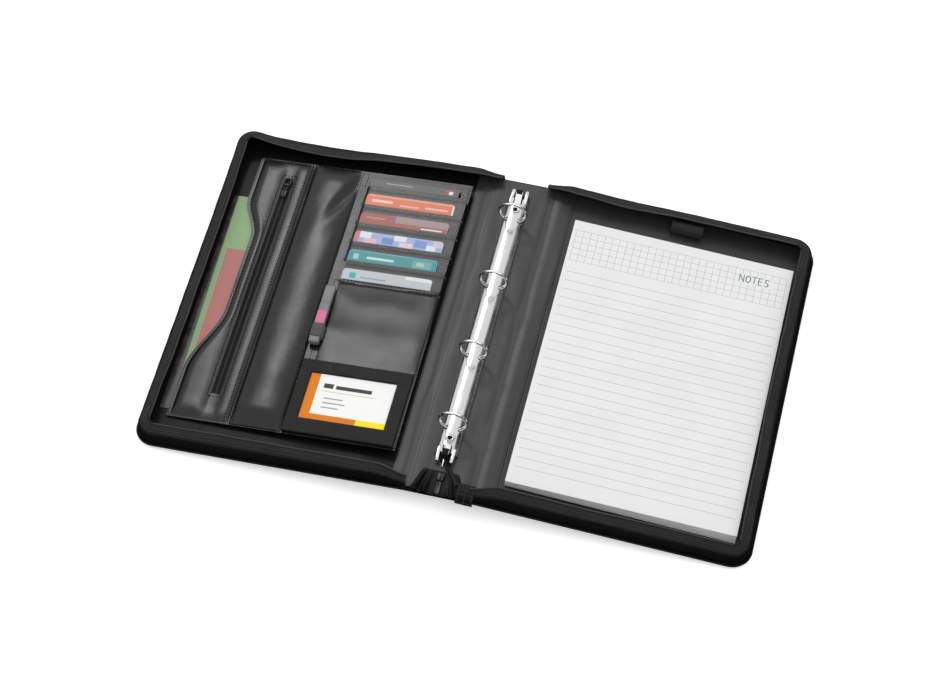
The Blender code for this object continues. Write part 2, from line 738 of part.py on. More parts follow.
def main():
    clear_scene()
    back = empty("back_cover_frame", (SPINE_HALF, 0, SPINE_HEIGHT), (0, COVER_SLOPE, 0))
    front = empty("front_cover_frame", (-SPINE_HALF, 0, SPINE_HEIGHT), (0, -COVER_SLOPE, 0))
    spine = empty("spine_frame", (0, 0, SPINE_HEIGHT))
    cover_layers("back", 1, back)
    cover_layers("front", -1, front)
    spine_layers(spine)
    ring_mechanism(spine)
    main_slider(spine)
    note_pad(back)
    pen_loop(back)
    brochure(front)
    organiser(front)


main()
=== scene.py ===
"""The looks of an open zip-around portfolio case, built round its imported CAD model.

Each cover, the spine and the organiser has a Local: u runs outwards from the
hinge, v along it and w up from the outer skin. Lengths are in metres.
"""

import json
import math
import random

import bmesh
import bpy
from mathutils import Matrix, Vector, noise


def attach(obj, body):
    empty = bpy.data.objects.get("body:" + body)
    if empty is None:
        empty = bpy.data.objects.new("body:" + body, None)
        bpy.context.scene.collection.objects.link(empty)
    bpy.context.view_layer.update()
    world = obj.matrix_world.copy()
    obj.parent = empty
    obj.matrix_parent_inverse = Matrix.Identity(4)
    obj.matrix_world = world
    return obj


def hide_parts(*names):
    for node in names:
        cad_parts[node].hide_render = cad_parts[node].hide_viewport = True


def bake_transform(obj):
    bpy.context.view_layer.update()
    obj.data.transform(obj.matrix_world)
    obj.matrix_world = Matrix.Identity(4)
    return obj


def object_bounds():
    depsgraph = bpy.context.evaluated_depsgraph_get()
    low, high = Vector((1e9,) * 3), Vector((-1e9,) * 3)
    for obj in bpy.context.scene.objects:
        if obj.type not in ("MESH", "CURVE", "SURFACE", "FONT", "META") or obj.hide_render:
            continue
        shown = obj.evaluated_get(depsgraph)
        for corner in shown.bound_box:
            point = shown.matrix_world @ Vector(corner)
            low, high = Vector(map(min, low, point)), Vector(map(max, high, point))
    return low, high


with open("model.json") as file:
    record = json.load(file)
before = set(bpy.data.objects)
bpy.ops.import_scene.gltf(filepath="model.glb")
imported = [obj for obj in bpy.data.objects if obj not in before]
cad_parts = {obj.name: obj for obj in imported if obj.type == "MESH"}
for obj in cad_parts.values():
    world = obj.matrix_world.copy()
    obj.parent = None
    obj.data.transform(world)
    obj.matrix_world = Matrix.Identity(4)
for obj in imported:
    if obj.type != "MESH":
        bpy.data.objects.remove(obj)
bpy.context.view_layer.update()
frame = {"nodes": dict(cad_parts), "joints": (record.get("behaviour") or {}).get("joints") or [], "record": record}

MM = 0.001
JOINTS = {joint["name"]: joint for joint in frame["joints"]}
MOUNTS = {mount["name"]: mount for mount in frame["record"]["mounts"]}


class Local:
    """A place with its own directions: out from a hinge, along it and up."""

    def __init__(self, origin, out, along, up):
        self.origin = Vector(origin)
        self.out = Vector(out)
        self.along = Vector(along)
        self.up = Vector(up)

    def at(self, u, v, w):
        return self.origin + self.out * u + self.along * v + self.up * w

    def inside(self, point):
        reach = Vector(point) - self.origin
        return reach.dot(self.out), reach.dot(self.along), reach.dot(self.up)


ALONG = Vector((0, 1, 0))
BACK_UP = -Vector(MOUNTS["back_cover_face"]["axis"])
FRONT_UP = -Vector(MOUNTS["front_cover_face"]["axis"])
BACK = Local(JOINTS["spine_fold"]["pos_m"], ALONG.cross(BACK_UP), ALONG, BACK_UP)
FRONT = Local(JOINTS["cover_fold"]["pos_m"], -ALONG.cross(FRONT_UP), ALONG, FRONT_UP)
SPINE = Local((0, 0, BACK.origin.z), (1, 0, 0), ALONG, (0, 0, 1))
TO_SPINE = Vector(JOINTS["pocket_puller_swing"]["axis"])
ORGANISER_EDGE = Vector(JOINTS["pocket_compress"]["pos_m"])
ORGANISER_REACH = FRONT.inside(ORGANISER_EDGE)[0]
ORGANISER = Local(
    ORGANISER_EDGE + TO_SPINE * ORGANISER_REACH,
    -TO_SPINE,
    ALONG,
    TO_SPINE.cross(ALONG),
)


def extent(node, place):
    """Lowest and highest (u, v, w) of a CAD node in a Local's directions."""
    spots = [place.inside(vertex.co) for vertex in frame["nodes"][node].data.vertices]
    return [min(c) for c in zip(*spots)], [max(c) for c in zip(*spots)]


SKIN_LOW, SKIN_HIGH = extent("outer_cover_back", BACK)
LINING_LOW, LINING_HIGH = extent("lining_back", BACK)
PIPING_HIGH = extent("piping_back", BACK)[1]
RIM_INSET = 0.1 * MM            # from the outermost line to the piping's outside
COVER_WIDTH = PIPING_HIGH[0] + RIM_INSET
HALF_LENGTH = PIPING_HIGH[1] + RIM_INSET
CORNER = 20 * MM
SKIN_INSET = COVER_WIDTH - SKIN_HIGH[0]
LINING_INSET = COVER_WIDTH - LINING_HIGH[0]
LINING_TOP = LINING_HIGH[2]
SPINE_HALF = BACK.origin.x
BAND_TOP = extent("gusset_band_back", BACK)[1][2]


# ---------------------------------------------------------------- materials

def node(tree, kind, inputs=None, **settings):
    """A shader node. A value in inputs is a socket to link or a constant to set."""
    made = tree.nodes.new(kind)
    for name, value in settings.items():
        setattr(made, name, value)
    for name, value in (inputs or {}).items():
        if isinstance(value, bpy.types.NodeSocket):
            tree.links.new(value, made.inputs[name])
        else:
            made.inputs[name].default_value = value
    return made


def calc(tree, operation, first, second=0.0):
    return node(tree, "ShaderNodeMath", {0: first, 1: second}, operation=operation).outputs[0]


def blank(name, colour, roughness, metallic=0.0, **sockets):
    """A material with its Principled shader set to plain values."""
    made = bpy.data.materials.new(name)
    made.use_nodes = True
    shader = made.node_tree.nodes["Principled BSDF"]
    shader.inputs["Base Color"].default_value = (*colour, 1)
    shader.inputs["Roughness"].default_value = roughness
    shader.inputs["Metallic"].default_value = metallic
    for socket, value in sockets.items():
        shader.inputs[socket.replace("_", " ")].default_value = value
    return made, made.node_tree, shader


def spread(tree, value, low, high, out_low, out_high):
    """Maps value from low..high to out_low..out_high."""
    inputs = {"Value": value, "From Min": low, "From Max": high, "To Min": out_low, "To Max": out_high}
    return node(tree, "ShaderNodeMapRange", inputs).outputs[0]


def blend_colours(tree, share, first, second):
    made = node(tree, "ShaderNodeMix", {"Factor": share}, data_type="RGBA")
    for index, colour in ((6, first), (7, second)):
        if isinstance(colour, bpy.types.NodeSocket):
            tree.links.new(colour, made.inputs[index])
        else:
            made.inputs[index].default_value = (*colour, 1)
    return made.outputs[2]


def object_place(tree):
    return node(tree, "ShaderNodeTexCoord").outputs["Object"]


def bump(tree, shader, height, distance, strength=1.0):
    inputs = {"Height": height, "Distance": distance, "Strength": strength}
    made = node(tree, "ShaderNodeBump", inputs)
    tree.links.new(made.outputs[0], shader.inputs["Normal"])


def leather(name, colour, worn, roughness=0.42, level=0.22, grain=0.8 * MM, depth=0.09 * MM):
    """Pebbled leather with uneven sheen and edges that have rubbed lighter."""
    made, tree, shader = blank(name, colour, roughness, Specular_IOR_Level=level)
    place = object_place(tree)
    pebbles = node(tree, "ShaderNodeTexVoronoi", {"Vector": place, "Scale": 1 / grain})
    fine_inputs = {"Vector": place, "Scale": 2.4 / grain, "Detail": 2.0}
    fine = node(tree, "ShaderNodeTexNoise", fine_inputs)
    creases = node(tree, "ShaderNodeTexNoise", {"Vector": place, "Scale": 90.0, "Detail": 4.0})
    broad = node(tree, "ShaderNodeTexNoise", {"Vector": place, "Scale": 14.0, "Detail": 3.0})
    height = calc(tree, "MULTIPLY_ADD", pebbles.outputs["Distance"], 0.7)
    tree.links.new(calc(tree, "MULTIPLY", fine.outputs[0], 0.5), height.node.inputs[2])
    bump(tree, shader, height, depth)
    edge = spread(tree, node(tree, "ShaderNodeNewGeometry").outputs["Pointiness"], 0.53, 0.62, 0, 1)
    rubbed = calc(tree, "MULTIPLY", edge, spread(tree, creases.outputs[0], 0.4, 0.62, 0.15, 0.9))
    dark = tuple(c * 0.72 for c in colour)
    tint = blend_colours(tree, spread(tree, broad.outputs[0], 0.35, 0.65, 0, 1), dark, colour)
    tree.links.new(blend_colours(tree, rubbed, tint, worn), shader.inputs["Base Color"])
    sheen = calc(tree, "ADD", broad.outputs[0], calc(tree, "MULTIPLY", creases.outputs[0], 0.6))
    sheen = spread(tree, sheen, 0.55, 1.05, roughness - 0.02, roughness + 0.04)
    tree.links.new(sheen, shader.inputs["Roughness"])
    return made


def woven(name, colour, light, thread, roughness=0.7, depth=0.06 * MM, level=0.2):
    """Cloth with crossing threads and a slightly mottled dye."""
    made, tree, shader = blank(name, colour, roughness, Sheen_Weight=0.08, Sheen_Roughness=0.5,
                               Specular_IOR_Level=level)
    place = node(tree, "ShaderNodeTexCoord").outputs["Object"]
    waves = []
    for direction in ("X", "Y"):
        inputs = {"Vector": place, "Scale": math.pi / (10 * thread), "Distortion": 0.4}
        waves.append(node(tree, "ShaderNodeTexWave", inputs, bands_direction=direction))
    cross = calc(tree, "MULTIPLY", waves[0].outputs["Fac"], waves[1].outputs["Fac"])
    bump(tree, shader, cross, depth)
    mottle = node(tree, "ShaderNodeTexNoise", {"Vector": place, "Scale": 35.0, "Detail": 5.0})
    share = spread(tree, mottle.outputs[0], 0.35, 0.7, 0, 1)
    share = calc(tree, "MULTIPLY", share, spread(tree, cross, 0, 1, 0.5, 1))
    tree.links.new(blend_colours(tree, share, colour, light), shader.inputs["Base Color"])
    return made


def plated(name, colour, roughness, scratch=0.05):
    """Polished plate with fine scratches and faint smudges."""
    made, tree, shader = blank(name, colour, roughness, 1.0)
    place = object_place(tree)
    squeezed = node(tree, "ShaderNodeMapping", {"Vector": place, "Scale": (900, 60, 900)})
    lines = node(tree, "ShaderNodeTexNoise", {"Vector": squeezed.outputs[0], "Scale": 1.0, "Detail": 4.0})
    smudge = node(tree, "ShaderNodeTexNoise", {"Vector": place, "Scale": 45.0, "Detail": 4.0})
    amount = calc(tree, "ADD", lines.outputs[0], smudge.outputs[0])
    amount = spread(tree, amount, 0.75, 1.25, max(roughness - scratch, 0.02), roughness + scratch * 2)
    tree.links.new(amount, shader.inputs["Roughness"])
    bump(tree, shader, lines.outputs[0], 0.004 * MM)
    return made


def plastic(name, colour, roughness, level=0.5):
    """Moulded plastic with a fine texture."""
    made, tree, shader = blank(name, colour, roughness, Specular_IOR_Level=level)
    place = object_place(tree)
    skin = node(tree, "ShaderNodeTexNoise", {"Vector": place, "Scale": 2500.0, "Detail": 2.0})
    bump(tree, shader, skin.outputs[0], 0.02 * MM)
    broad = node(tree, "ShaderNodeTexNoise", {"Vector": place, "Scale": 60.0, "Detail": 3.0})
    dark = tuple(c * 0.8 for c in colour)
    tint = blend_colours(tree, spread(tree, broad.outputs[0], 0.3, 0.7, 0, 1), dark, colour)
    tree.links.new(tint, shader.inputs["Base Color"])
    return made


def paper_base(name, colour, roughness=0.75):
    """Paper with faint fibres. Returns the material and the colour to print on."""
    made, tree, shader = blank(name, colour, roughness)
    place = object_place(tree)
    fibres = node(tree, "ShaderNodeTexNoise", {"Vector": place, "Scale": 900.0, "Detail": 3.0})
    bump(tree, shader, fibres.outputs[0], 0.012 * MM)
    cloudy = node(tree, "ShaderNodeTexNoise", {"Vector": place, "Scale": 30.0, "Detail": 3.0})
    dark = tuple(c * 0.965 for c in colour)
    tint = blend_colours(tree, spread(tree, cloudy.outputs[0], 0.3, 0.7, 0, 1), dark, colour)
    tree.links.new(tint, shader.inputs["Base Color"])
    return made, tree, shader, tint


def print_place(tree):
    """The (x, y) in metres across a printed piece, from its lower left corner."""
    split = node(tree, "ShaderNodeSeparateXYZ", {0: node(tree, "ShaderNodeTexCoord").outputs["UV"]})
    return split.outputs[0], split.outputs[1]


def inside(tree, value, low, high):
    """1 between low and high, and 0 elsewhere."""
    above = calc(tree, "GREATER_THAN", value, low)
    return calc(tree, "MULTIPLY", above, calc(tree, "LESS_THAN", value, high))


def block(tree, x, y, x0, x1, y0, y1):
    return calc(tree, "MULTIPLY", inside(tree, x, x0, x1), inside(tree, y, y0, y1))


def rules(tree, value, first, pitch, count, width):
    """1 on count lines of that width, from first on, a pitch apart."""
    steps = calc(tree, "DIVIDE", calc(tree, "SUBTRACT", value, first), pitch)
    nearest = calc(tree, "ROUND", steps)
    nearest = calc(tree, "MINIMUM", calc(tree, "MAXIMUM", nearest, 0), count - 1)
    away = calc(tree, "ABSOLUTE", calc(tree, "SUBTRACT", steps, nearest))
    return calc(tree, "LESS_THAN", away, width / 2 / pitch)


def ink(tree, shader, base, layers):
    """Prints (mask, colour) layers over a base colour."""
    for mask, colour in layers:
        base = blend_colours(tree, mask, base, colour)
    tree.links.new(base, shader.inputs["Base Color"])


# ---------------------------------------------------------------- mesh tools

def piece(name, verts, faces, look, body, stands_for=(), slot="leather", uvs=None, sharp=35):
    """A named mesh piece that rides on a body. When body is a tuple of bodies and blend points instead, the piece is
    baked in place and rides on neither; the blend points are not used.
    """
    mesh = bpy.data.meshes.new(name)
    mesh.from_pydata([tuple(v) for v in verts], [], faces)
    if uvs:
        layer = mesh.uv_layers.new(name="UVMap")
        for loop in mesh.loops:
            layer.data[loop.index].uv = uvs[loop.vertex_index]
    work = bmesh.new()
    work.from_mesh(mesh)
    bmesh.ops.recalc_face_normals(work, faces=work.faces)
    work.to_mesh(mesh)
    work.free()
    mesh.shade_smooth()
    mesh.set_sharp_from_angle(angle=math.radians(sharp))
    mesh.materials.append(look)
    made = bpy.data.objects.new(name, mesh)
    bpy.context.collection.objects.link(made)
    if isinstance(body, str):
        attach(made, body)
    else:
        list(body)
        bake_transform(made)
    if stands_for:
        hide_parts(*stands_for)
    return made


def sheet_mesh(top, bottom, keep=None):
    """Verts and faces of a closed sheet between two grids. keep(i, j) leaves cells out."""
    rows, columns = len(top), len(top[0])
    verts, index, order = [], {}, []

    def corner(side, i, j):
        key = (side, i, j)
        if key not in index:
            index[key] = len(verts)
            verts.append((top, bottom)[side][i][j])
            order.append((i, j))
        return index[key]

    def kept(i, j):
        if not (0 <= i < rows - 1 and 0 <= j < columns - 1):
            return False
        return keep is None or keep(i, j)

    faces = []
    for i in range(rows - 1):
        for j in range(columns - 1):
            if not kept(i, j):
                continue
            ring = ((i, j), (i + 1, j), (i + 1, j + 1), (i, j + 1))
            for side in (0, 1):
                faces.append([corner(side, *spot) for spot in ring])
            beyond = ((i, j - 1), (i + 1, j), (i, j + 1), (i - 1, j))
            for k in range(4):
                if kept(*beyond[k]):
                    continue
                a, b = ring[k], ring[(k + 1) % 4]
                faces.append([corner(0, *a), corner(0, *b), corner(1, *b), corner(1, *a)])
    return verts, faces, order


def sheet(name, place, rows, columns, spot, thick, look, body, keep=None, printed=None, **facts):
    """A closed sheet. spot(row, column) gives (u, v, w) on its upper face.

    printed is the (u, v) that the print starts from and the way that its x runs.
    """
    local = [[spot(row, column) for column in columns] for row in rows]
    top = [[place.at(*p) for p in line] for line in local]
    bottom = [[place.at(p[0], p[1], p[2] - thick) for p in line] for line in local]
    verts, faces, order = sheet_mesh(top, bottom, keep)
    if printed:
        u0, v0, way = printed
        facts["uvs"] = [((local[i][j][0] - u0) * way, local[i][j][1] - v0) for i, j in order]
    return piece(name, verts, faces, look, body, **facts)


def spaced(low, high, step, fine=(0.35 * MM, 1.0 * MM, 2.2 * MM)):
    """Positions from low to high, closer together near both ends."""
    inner_low, inner_high = low + fine[-1], high - fine[-1]
    count = max(int(round((inner_high - inner_low) / step)), 1)
    middle = [inner_low + (inner_high - inner_low) * k / count for k in range(count + 1)]
    start = [low] + [low + f for f in fine[:-1]]
    end = [high - f for f in reversed(fine[:-1])] + [high]
    return start + middle + end


def with_lines(positions, extra, apart=0.4 * MM):
    """Adds exact positions to a list and drops the neighbours that come too close."""
    kept = [p for p in positions if all(abs(p - e) > apart for e in extra)]
    return sorted(kept + list(extra))


def rolled(distance, radius):
    """How far a turned edge drops at a distance inside its rim."""
    if distance >= radius:
        return 0.0
    return radius - math.sqrt(max(radius ** 2 - (radius - max(distance, 0)) ** 2, 0))


def smooth(value):
    value = min(max(value, 0.0), 1.0)
    return value * value * (3 - 2 * value)


def bell(value, centre, width):
    return math.exp(-(((value - centre) / width) ** 2))


def ripple(u, v, size, seed):
    return noise.noise(Vector((u / size, v / size, seed)))


def tube_mesh(path, radius, sides=8, closed=False):
    """Verts and faces round a path. radius is a number or a function of the point's index."""
    count = len(path)
    verts, faces = [], []
    side = None
    for k, point in enumerate(path):
        before = path[(k - 1) % count] if closed else path[max(k - 1, 0)]
        after = path[(k + 1) % count] if closed else path[min(k + 1, count - 1)]
        along = (after - before).normalized()
        if side is None:
            side = along.orthogonal().normalized()
        side = (side - along * side.dot(along)).normalized()
        other = along.cross(side)
        size = radius(k) if callable(radius) else radius
        for s in range(sides):
            angle = 2 * math.pi * s / sides
            verts.append(point + side * size * math.cos(angle) + other * size * math.sin(angle))
    for k in range(count if closed else count - 1):
        m = (k + 1) % count
        for s in range(sides):
            t = (s + 1) % sides
            faces.append([k * sides + s, k * sides + t, m * sides + t, m * sides + s])
    if not closed:
        faces.append(list(range(sides)))
        faces.append([(count - 1) * sides + s for s in range(sides)])
    return verts, faces


def joined(parts):
    """One list of verts and faces from several."""
    verts, faces = [], []
    for more_verts, more_faces in parts:
        base = len(verts)
        verts += more_verts
        faces += [[base + index for index in face] for face in more_faces]
    return verts, faces


def stitch_mesh(path, up, pitch=3.1 * MM, share=0.72, radius=0.34 * MM):
    """Stitches along a path of points, each an arched bit of thread."""
    parts = []
    left = pitch * 0.5
    for first, second in zip(path, path[1:]):
        run = second - first
        length = run.length
        if length < 1e-9:
            continue
        along = run / length
        across = up.cross(along).normalized()
        while left <= length:
            middle = first + along * left
            parts.append(one_stitch(middle, along, across, up, pitch * share / 2, radius))
            left += pitch
        left -= length
    return joined(parts)


def one_stitch(middle, along, across, up, half, radius):
    rings = ((-1, 0.35, -0.1), (-0.7, 0.9, 0.2), (0, 1.0, 0.4), (0.7, 0.9, 0.2), (1, 0.35, -0.1))
    verts, faces = [], []
    sides = 6
    slant = across * half * 0.12
    for reach, size, lift in rings:
        centre = middle + along * reach * half + up * lift * radius + slant * reach
        for s in range(sides):
            angle = 2 * math.pi * s / sides
            round_it = across * math.cos(angle) + up * math.sin(angle)
            verts.append(centre + round_it * radius * size)
    for k in range(len(rings) - 1):
        for s in range(sides):
            t = (s + 1) % sides
            faces.append([k * sides + s, k * sides + t, (k + 1) * sides + t, (k + 1) * sides + s])
    faces.append(list(range(sides)))
    faces.append([(len(rings) - 1) * sides + s for s in range(sides)])
    return verts, faces


def stitches(name, runs, up, body, look=None, **facts):
    """All the stitching of one panel, from runs of points."""
    if look:
        facts = {"pitch": 3.5 * MM, "share": 0.6, "radius": 0.5 * MM, **facts}
    verts, faces = joined([stitch_mesh(run, up, **facts) for run in runs])
    return piece(name, verts, faces, look or THREAD, body, slot="lining", sharp=60)


def straight(place, u0, v0, u1, v1, height, step=4 * MM):
    """Points along a line on a surface given by height(u, v)."""
    count = max(int(math.hypot(u1 - u0, v1 - v0) / step), 1)
    points = []
    for k in range(count + 1):
        u, v = u0 + (u1 - u0) * k / count, v0 + (v1 - v0) * k / count
        points.append(place.at(u, v, height(u, v)))
    return points


BLACK_LEATHER = leather("black_leather", (0.0035, 0.0035, 0.0037), (0.014, 0.014, 0.0145), 0.42, 0.15)
PANEL_LEATHER = leather("panel_leather", (0.006, 0.006, 0.0063), (0.024, 0.024, 0.0245), 0.25, 0.36,
                        depth=0.06 * MM)
LINING_CLOTH = woven("lining_cloth", (0.013, 0.013, 0.0135), (0.02, 0.02, 0.0205), 0.5 * MM, 0.4, 0.02 * MM,
                     0.5)
SLOT_CLOTH = woven("slot_cloth", (0.002, 0.002, 0.002), (0.006, 0.006, 0.006), 0.7 * MM, 0.6, level=0.1)
TAPE_CLOTH = woven("tape_cloth", (0.008, 0.008, 0.0085), (0.018, 0.018, 0.019), 0.7 * MM, 0.6)
COIL = plastic("zip_coil", (0.022, 0.022, 0.023), 0.35)
THREAD = woven("thread", (0.02, 0.02, 0.021), (0.06, 0.06, 0.062), 0.12 * MM, 0.6)
# Near-black thread for the organiser's stitches, partly the thread's own colour and partly painted shade of the
# stitch grooves; it also colours the tube that paints the seam shadow.
DARK_THREAD_AND_SEAM_SHADE = woven("dark_thread_and_seam_shade", (0.001, 0.001, 0.001), (0.004, 0.004, 0.004), 0.12 * MM, 0.7, level=0.1)
ELASTIC = woven("elastic", (0.012, 0.012, 0.013), (0.028, 0.028, 0.029), 0.6 * MM, 0.6, 0.12 * MM)
CHROME = plated("chrome", (0.8, 0.8, 0.81), 0.1)
PRESSED_STEEL = plated("pressed_steel", (0.6, 0.6, 0.61), 0.2)
ZINC = plated("zinc", (0.55, 0.55, 0.56), 0.3)
DARK_METAL = plated("dark_nickel", (0.05, 0.05, 0.052), 0.38)
GREY_ELASTIC = woven("grey_elastic", (0.07, 0.07, 0.072), (0.12, 0.12, 0.122), 0.6 * MM, 0.6, 0.12 * MM)
RUBBER = plastic("black_rubber", (0.004, 0.004, 0.004), 0.55, 0.15)
GREYBOARD = paper_base("greyboard", (0.012, 0.012, 0.012), 0.9)[0]


# ---------------------------------------------------------------- covers

def rim_distance(u, v, inset):
    """How far inside a cover's rounded outline, drawn in by inset, a point lies."""
    radius = CORNER - inset
    du = u - (COVER_WIDTH - CORNER)
    dv = abs(v) - (HALF_LENGTH - CORNER)
    if du > 0 and dv > 0:
        return radius - math.hypot(du, dv)
    return min(COVER_WIDTH - inset - u, HALF_LENGTH - inset - abs(v))


def half_length_at(u, inset):
    radius = CORNER - inset
    du = u - (COVER_WIDTH - CORNER)
    if du <= 0:
        return HALF_LENGTH - inset
    return HALF_LENGTH - CORNER + math.sqrt(max(radius ** 2 - du ** 2, 0))


def cover_sheet(name, place, start, inset, height, thick, look, body, **facts):
    """A sheet over a whole cover, with height(u, v) for its upper face."""
    fine = (0.4 * MM, 1.2 * MM, 2.5 * MM, 5 * MM, 8 * MM, 12 * MM)
    rows = spaced(start, COVER_WIDTH - inset, 7 * MM, fine)
    reach = fine[-1]
    count = 44
    columns = [(side, offset) for side in (-1, 1) for offset in (0,) + fine[:-1]]
    columns += [(0, 2 * k / count - 1) for k in range(count + 1)]

    def across(column, u):
        side, value = column
        half = half_length_at(u, inset)
        return side * (half - value) if side else value * (half - reach)

    columns.sort(key=lambda column: across(column, start))

    def spot(u, column):
        v = across(column, u)
        return u, v, height(u, v)

    return sheet(name, place, rows, columns, spot, thick, look, body, **facts)


def cover_shells():
    """The outer leather, its stitched border, and the boards inside."""
    for word, place, body in (("back", BACK, "back_cover"), ("front", FRONT, "front_cover")):
        def under(u, v):
            distance = rim_distance(u, v, SKIN_INSET)
            seam = 0.25 * MM * bell(distance, 5 * MM, 0.9 * MM)
            return SKIN_HIGH[2] + seam
        cover_sheet(
            "leather_" + word,
            place,
            SKIN_LOW[0],
            SKIN_INSET,
            under,
            SKIN_HIGH[2],
            BLACK_LEATHER,
            body,
            stands_for=["outer_cover_" + word],
        )
        path = rim_path(SKIN_LOW[0], SKIN_LOW[0], 3 * MM)
        run = [place.at(*at_inset(spot, SKIN_INSET + 5 * MM), -0.05 * MM) for spot in path]
        stitches("border_stitches_" + word, [run], -place.up, body)
        frame["nodes"]["board_" + word].data.materials.clear()
        frame["nodes"]["board_" + word].data.materials.append(GREYBOARD)
        cord = [place.at(*at_inset(spot, 1.2 * MM), 2.6 * MM) for spot in rim_path(SKIN_LOW[0], SKIN_LOW[0],
            2.5 * MM)]
        verts, faces = tube_mesh(cord, 1.1 * MM, 10)
        piece("welt_" + word, verts, faces, BLACK_LEATHER, body, stands_for=["piping_" + word])


def rim_path(start_top, start_bottom, step):
    """Points round a cover's free edges: (u, v, inward u, inward v, distance so far)."""
    side = COVER_WIDTH - CORNER
    half = HALF_LENGTH - CORNER
    spots = []

    def line(u0, v0, u1, v1, inward):
        count = max(int(math.hypot(u1 - u0, v1 - v0) / step), 1)
        for k in range(count):
            spots.append((u0 + (u1 - u0) * k / count, v0 + (v1 - v0) * k / count, *inward))

    def turn(v, first, last):
        count = max(int(CORNER * math.pi / 2 / (step * 0.7)), 6)
        for k in range(count):
            angle = math.radians(first + (last - first) * k / count)
            out_u, out_v = math.cos(angle), math.sin(angle)
            spots.append((side + CORNER * out_u, v + CORNER * out_v, -out_u, -out_v))

    line(start_top, HALF_LENGTH, side, HALF_LENGTH, (0, -1))
    turn(half, 90, 0)
    line(COVER_WIDTH, half, COVER_WIDTH, -half, (-1, 0))
    turn(-half, 0, -90)
    line(side, -HALF_LENGTH, start_bottom, -HALF_LENGTH, (0, 1))
    spots.append((start_bottom, -HALF_LENGTH, 0, 1))
    far = 0.0
    path = [(*spots[0], far)]
    for before, after in zip(spots, spots[1:]):
        far += math.hypot(after[0] - before[0], after[1] - before[1])
        path.append((*after, far))
    return path


def at_inset(spot, inset):
    """The (u, v) that lies inset inside a spot of the rim path."""
    return spot[0] + spot[2] * inset, spot[1] + spot[3] * inset


def slump(front, u, v, far):
    """How far the gusset leans in at a spot: it sags between the corners and crumples a little."""
    lean = 0.5 * MM * ripple(far, 0, 26 * MM, 3.1 if front else 7.7)
    lean += 0.9 * MM * ripple(far, 0, 80 * MM, 5.3 if front else 1.9)
    if front and v > 0:
        lean += 5.0 * MM * bell(u, 160 * MM, 62 * MM) * smooth((v - 0.14) / 0.03)
    if not front and v > 0:
        lean += 2.0 * MM * bell(u, 70 * MM, 45 * MM) * smooth((v - 0.14) / 0.03)
    lean += 1.5 * MM * bell(v, 0, 90 * MM) * smooth((u - 0.2) / 0.03)
    return lean


def end_fade(far, length, reach, low):
    """1 along the rim, dropping to low at its two ends by the spine."""
    near = min(far, length - far)
    return low + (1 - low) * smooth(near / reach)


def wall_line(front, spot, length):
    """The outer face of the gusset from its foot to the tape, as (inset, height) points."""
    u, v, _, _, far = spot
    lean = slump(front, u, v, far)
    fade = end_fade(far, length, 26 * MM, 0.62)
    corner = bell(u, COVER_WIDTH - 12 * MM, 22 * MM) * smooth((v - 0.14) / 0.03) if front else 0.0
    top = (BAND_TOP - 0.35 * lean + 4.5 * MM * corner) * fade
    points = []
    for k in range(9):
        share = k / 8
        height = 1.3 * MM + (top - 1.3 * MM) * math.sin(share * math.pi / 2) ** 0.9
        belly = 0.45 * MM * math.sin(share * math.pi) * ripple(far, share, 17 * MM, 9.0)
        inset = 2.5 * MM + (3.4 * MM + lean) * share ** 3 - belly
        points.append((inset, height))
    return points


def tape_line(front, spot, length):
    """The upper face of the zip tape from the gusset inwards, with its woven ridges."""
    foot_inset, foot_height = wall_line(front, spot, length)[-1]
    far = spot[4]
    width = 8.2 * MM * end_fade(far, length, 30 * MM, 0.55)
    tip = 0.8 * MM * ripple(far, 2, 31 * MM, 4.4)
    points = []
    for k in range(15):
        share = k / 14
        ridge = 0.28 * MM * math.cos(share * 3 * 2 * math.pi)
        rise = 2.2 * MM * math.sin(share * math.pi * 0.62) + tip * share ** 2
        points.append((foot_inset + width * share, foot_height + 0.3 * MM + rise + ridge))
    return points


def offset_line(line, thick):
    """The same line, moved inwards and down by a thickness."""
    moved = []
    for index, (inset, height) in enumerate(line):
        before, after = line[max(index - 1, 0)], line[min(index + 1, len(line) - 1)]
        run = Vector((after[0] - before[0], after[1] - before[1])).normalized()
        moved.append((inset + run.y * thick, height - run.x * thick))
    return moved


def swept(place, path, line_at, thick):
    """Grids for a strip that follows the rim, from line_at(spot)."""
    top, bottom = [], []
    for spot in path:
        line = line_at(spot)
        top.append([place.at(*at_inset(spot, inset), height) for inset, height in line])
        inner = offset_line(line, thick)
        bottom.append([place.at(*at_inset(spot, inset), height) for inset, height in inner])
    return top, bottom


def strip_uvs(path, order, width):
    return [(path[i][4], j * width) for i, j in order]


RIM_ENDS = {"back": (-7.2 * MM, -2 * MM), "front": (-10.4 * MM, -2 * MM)}


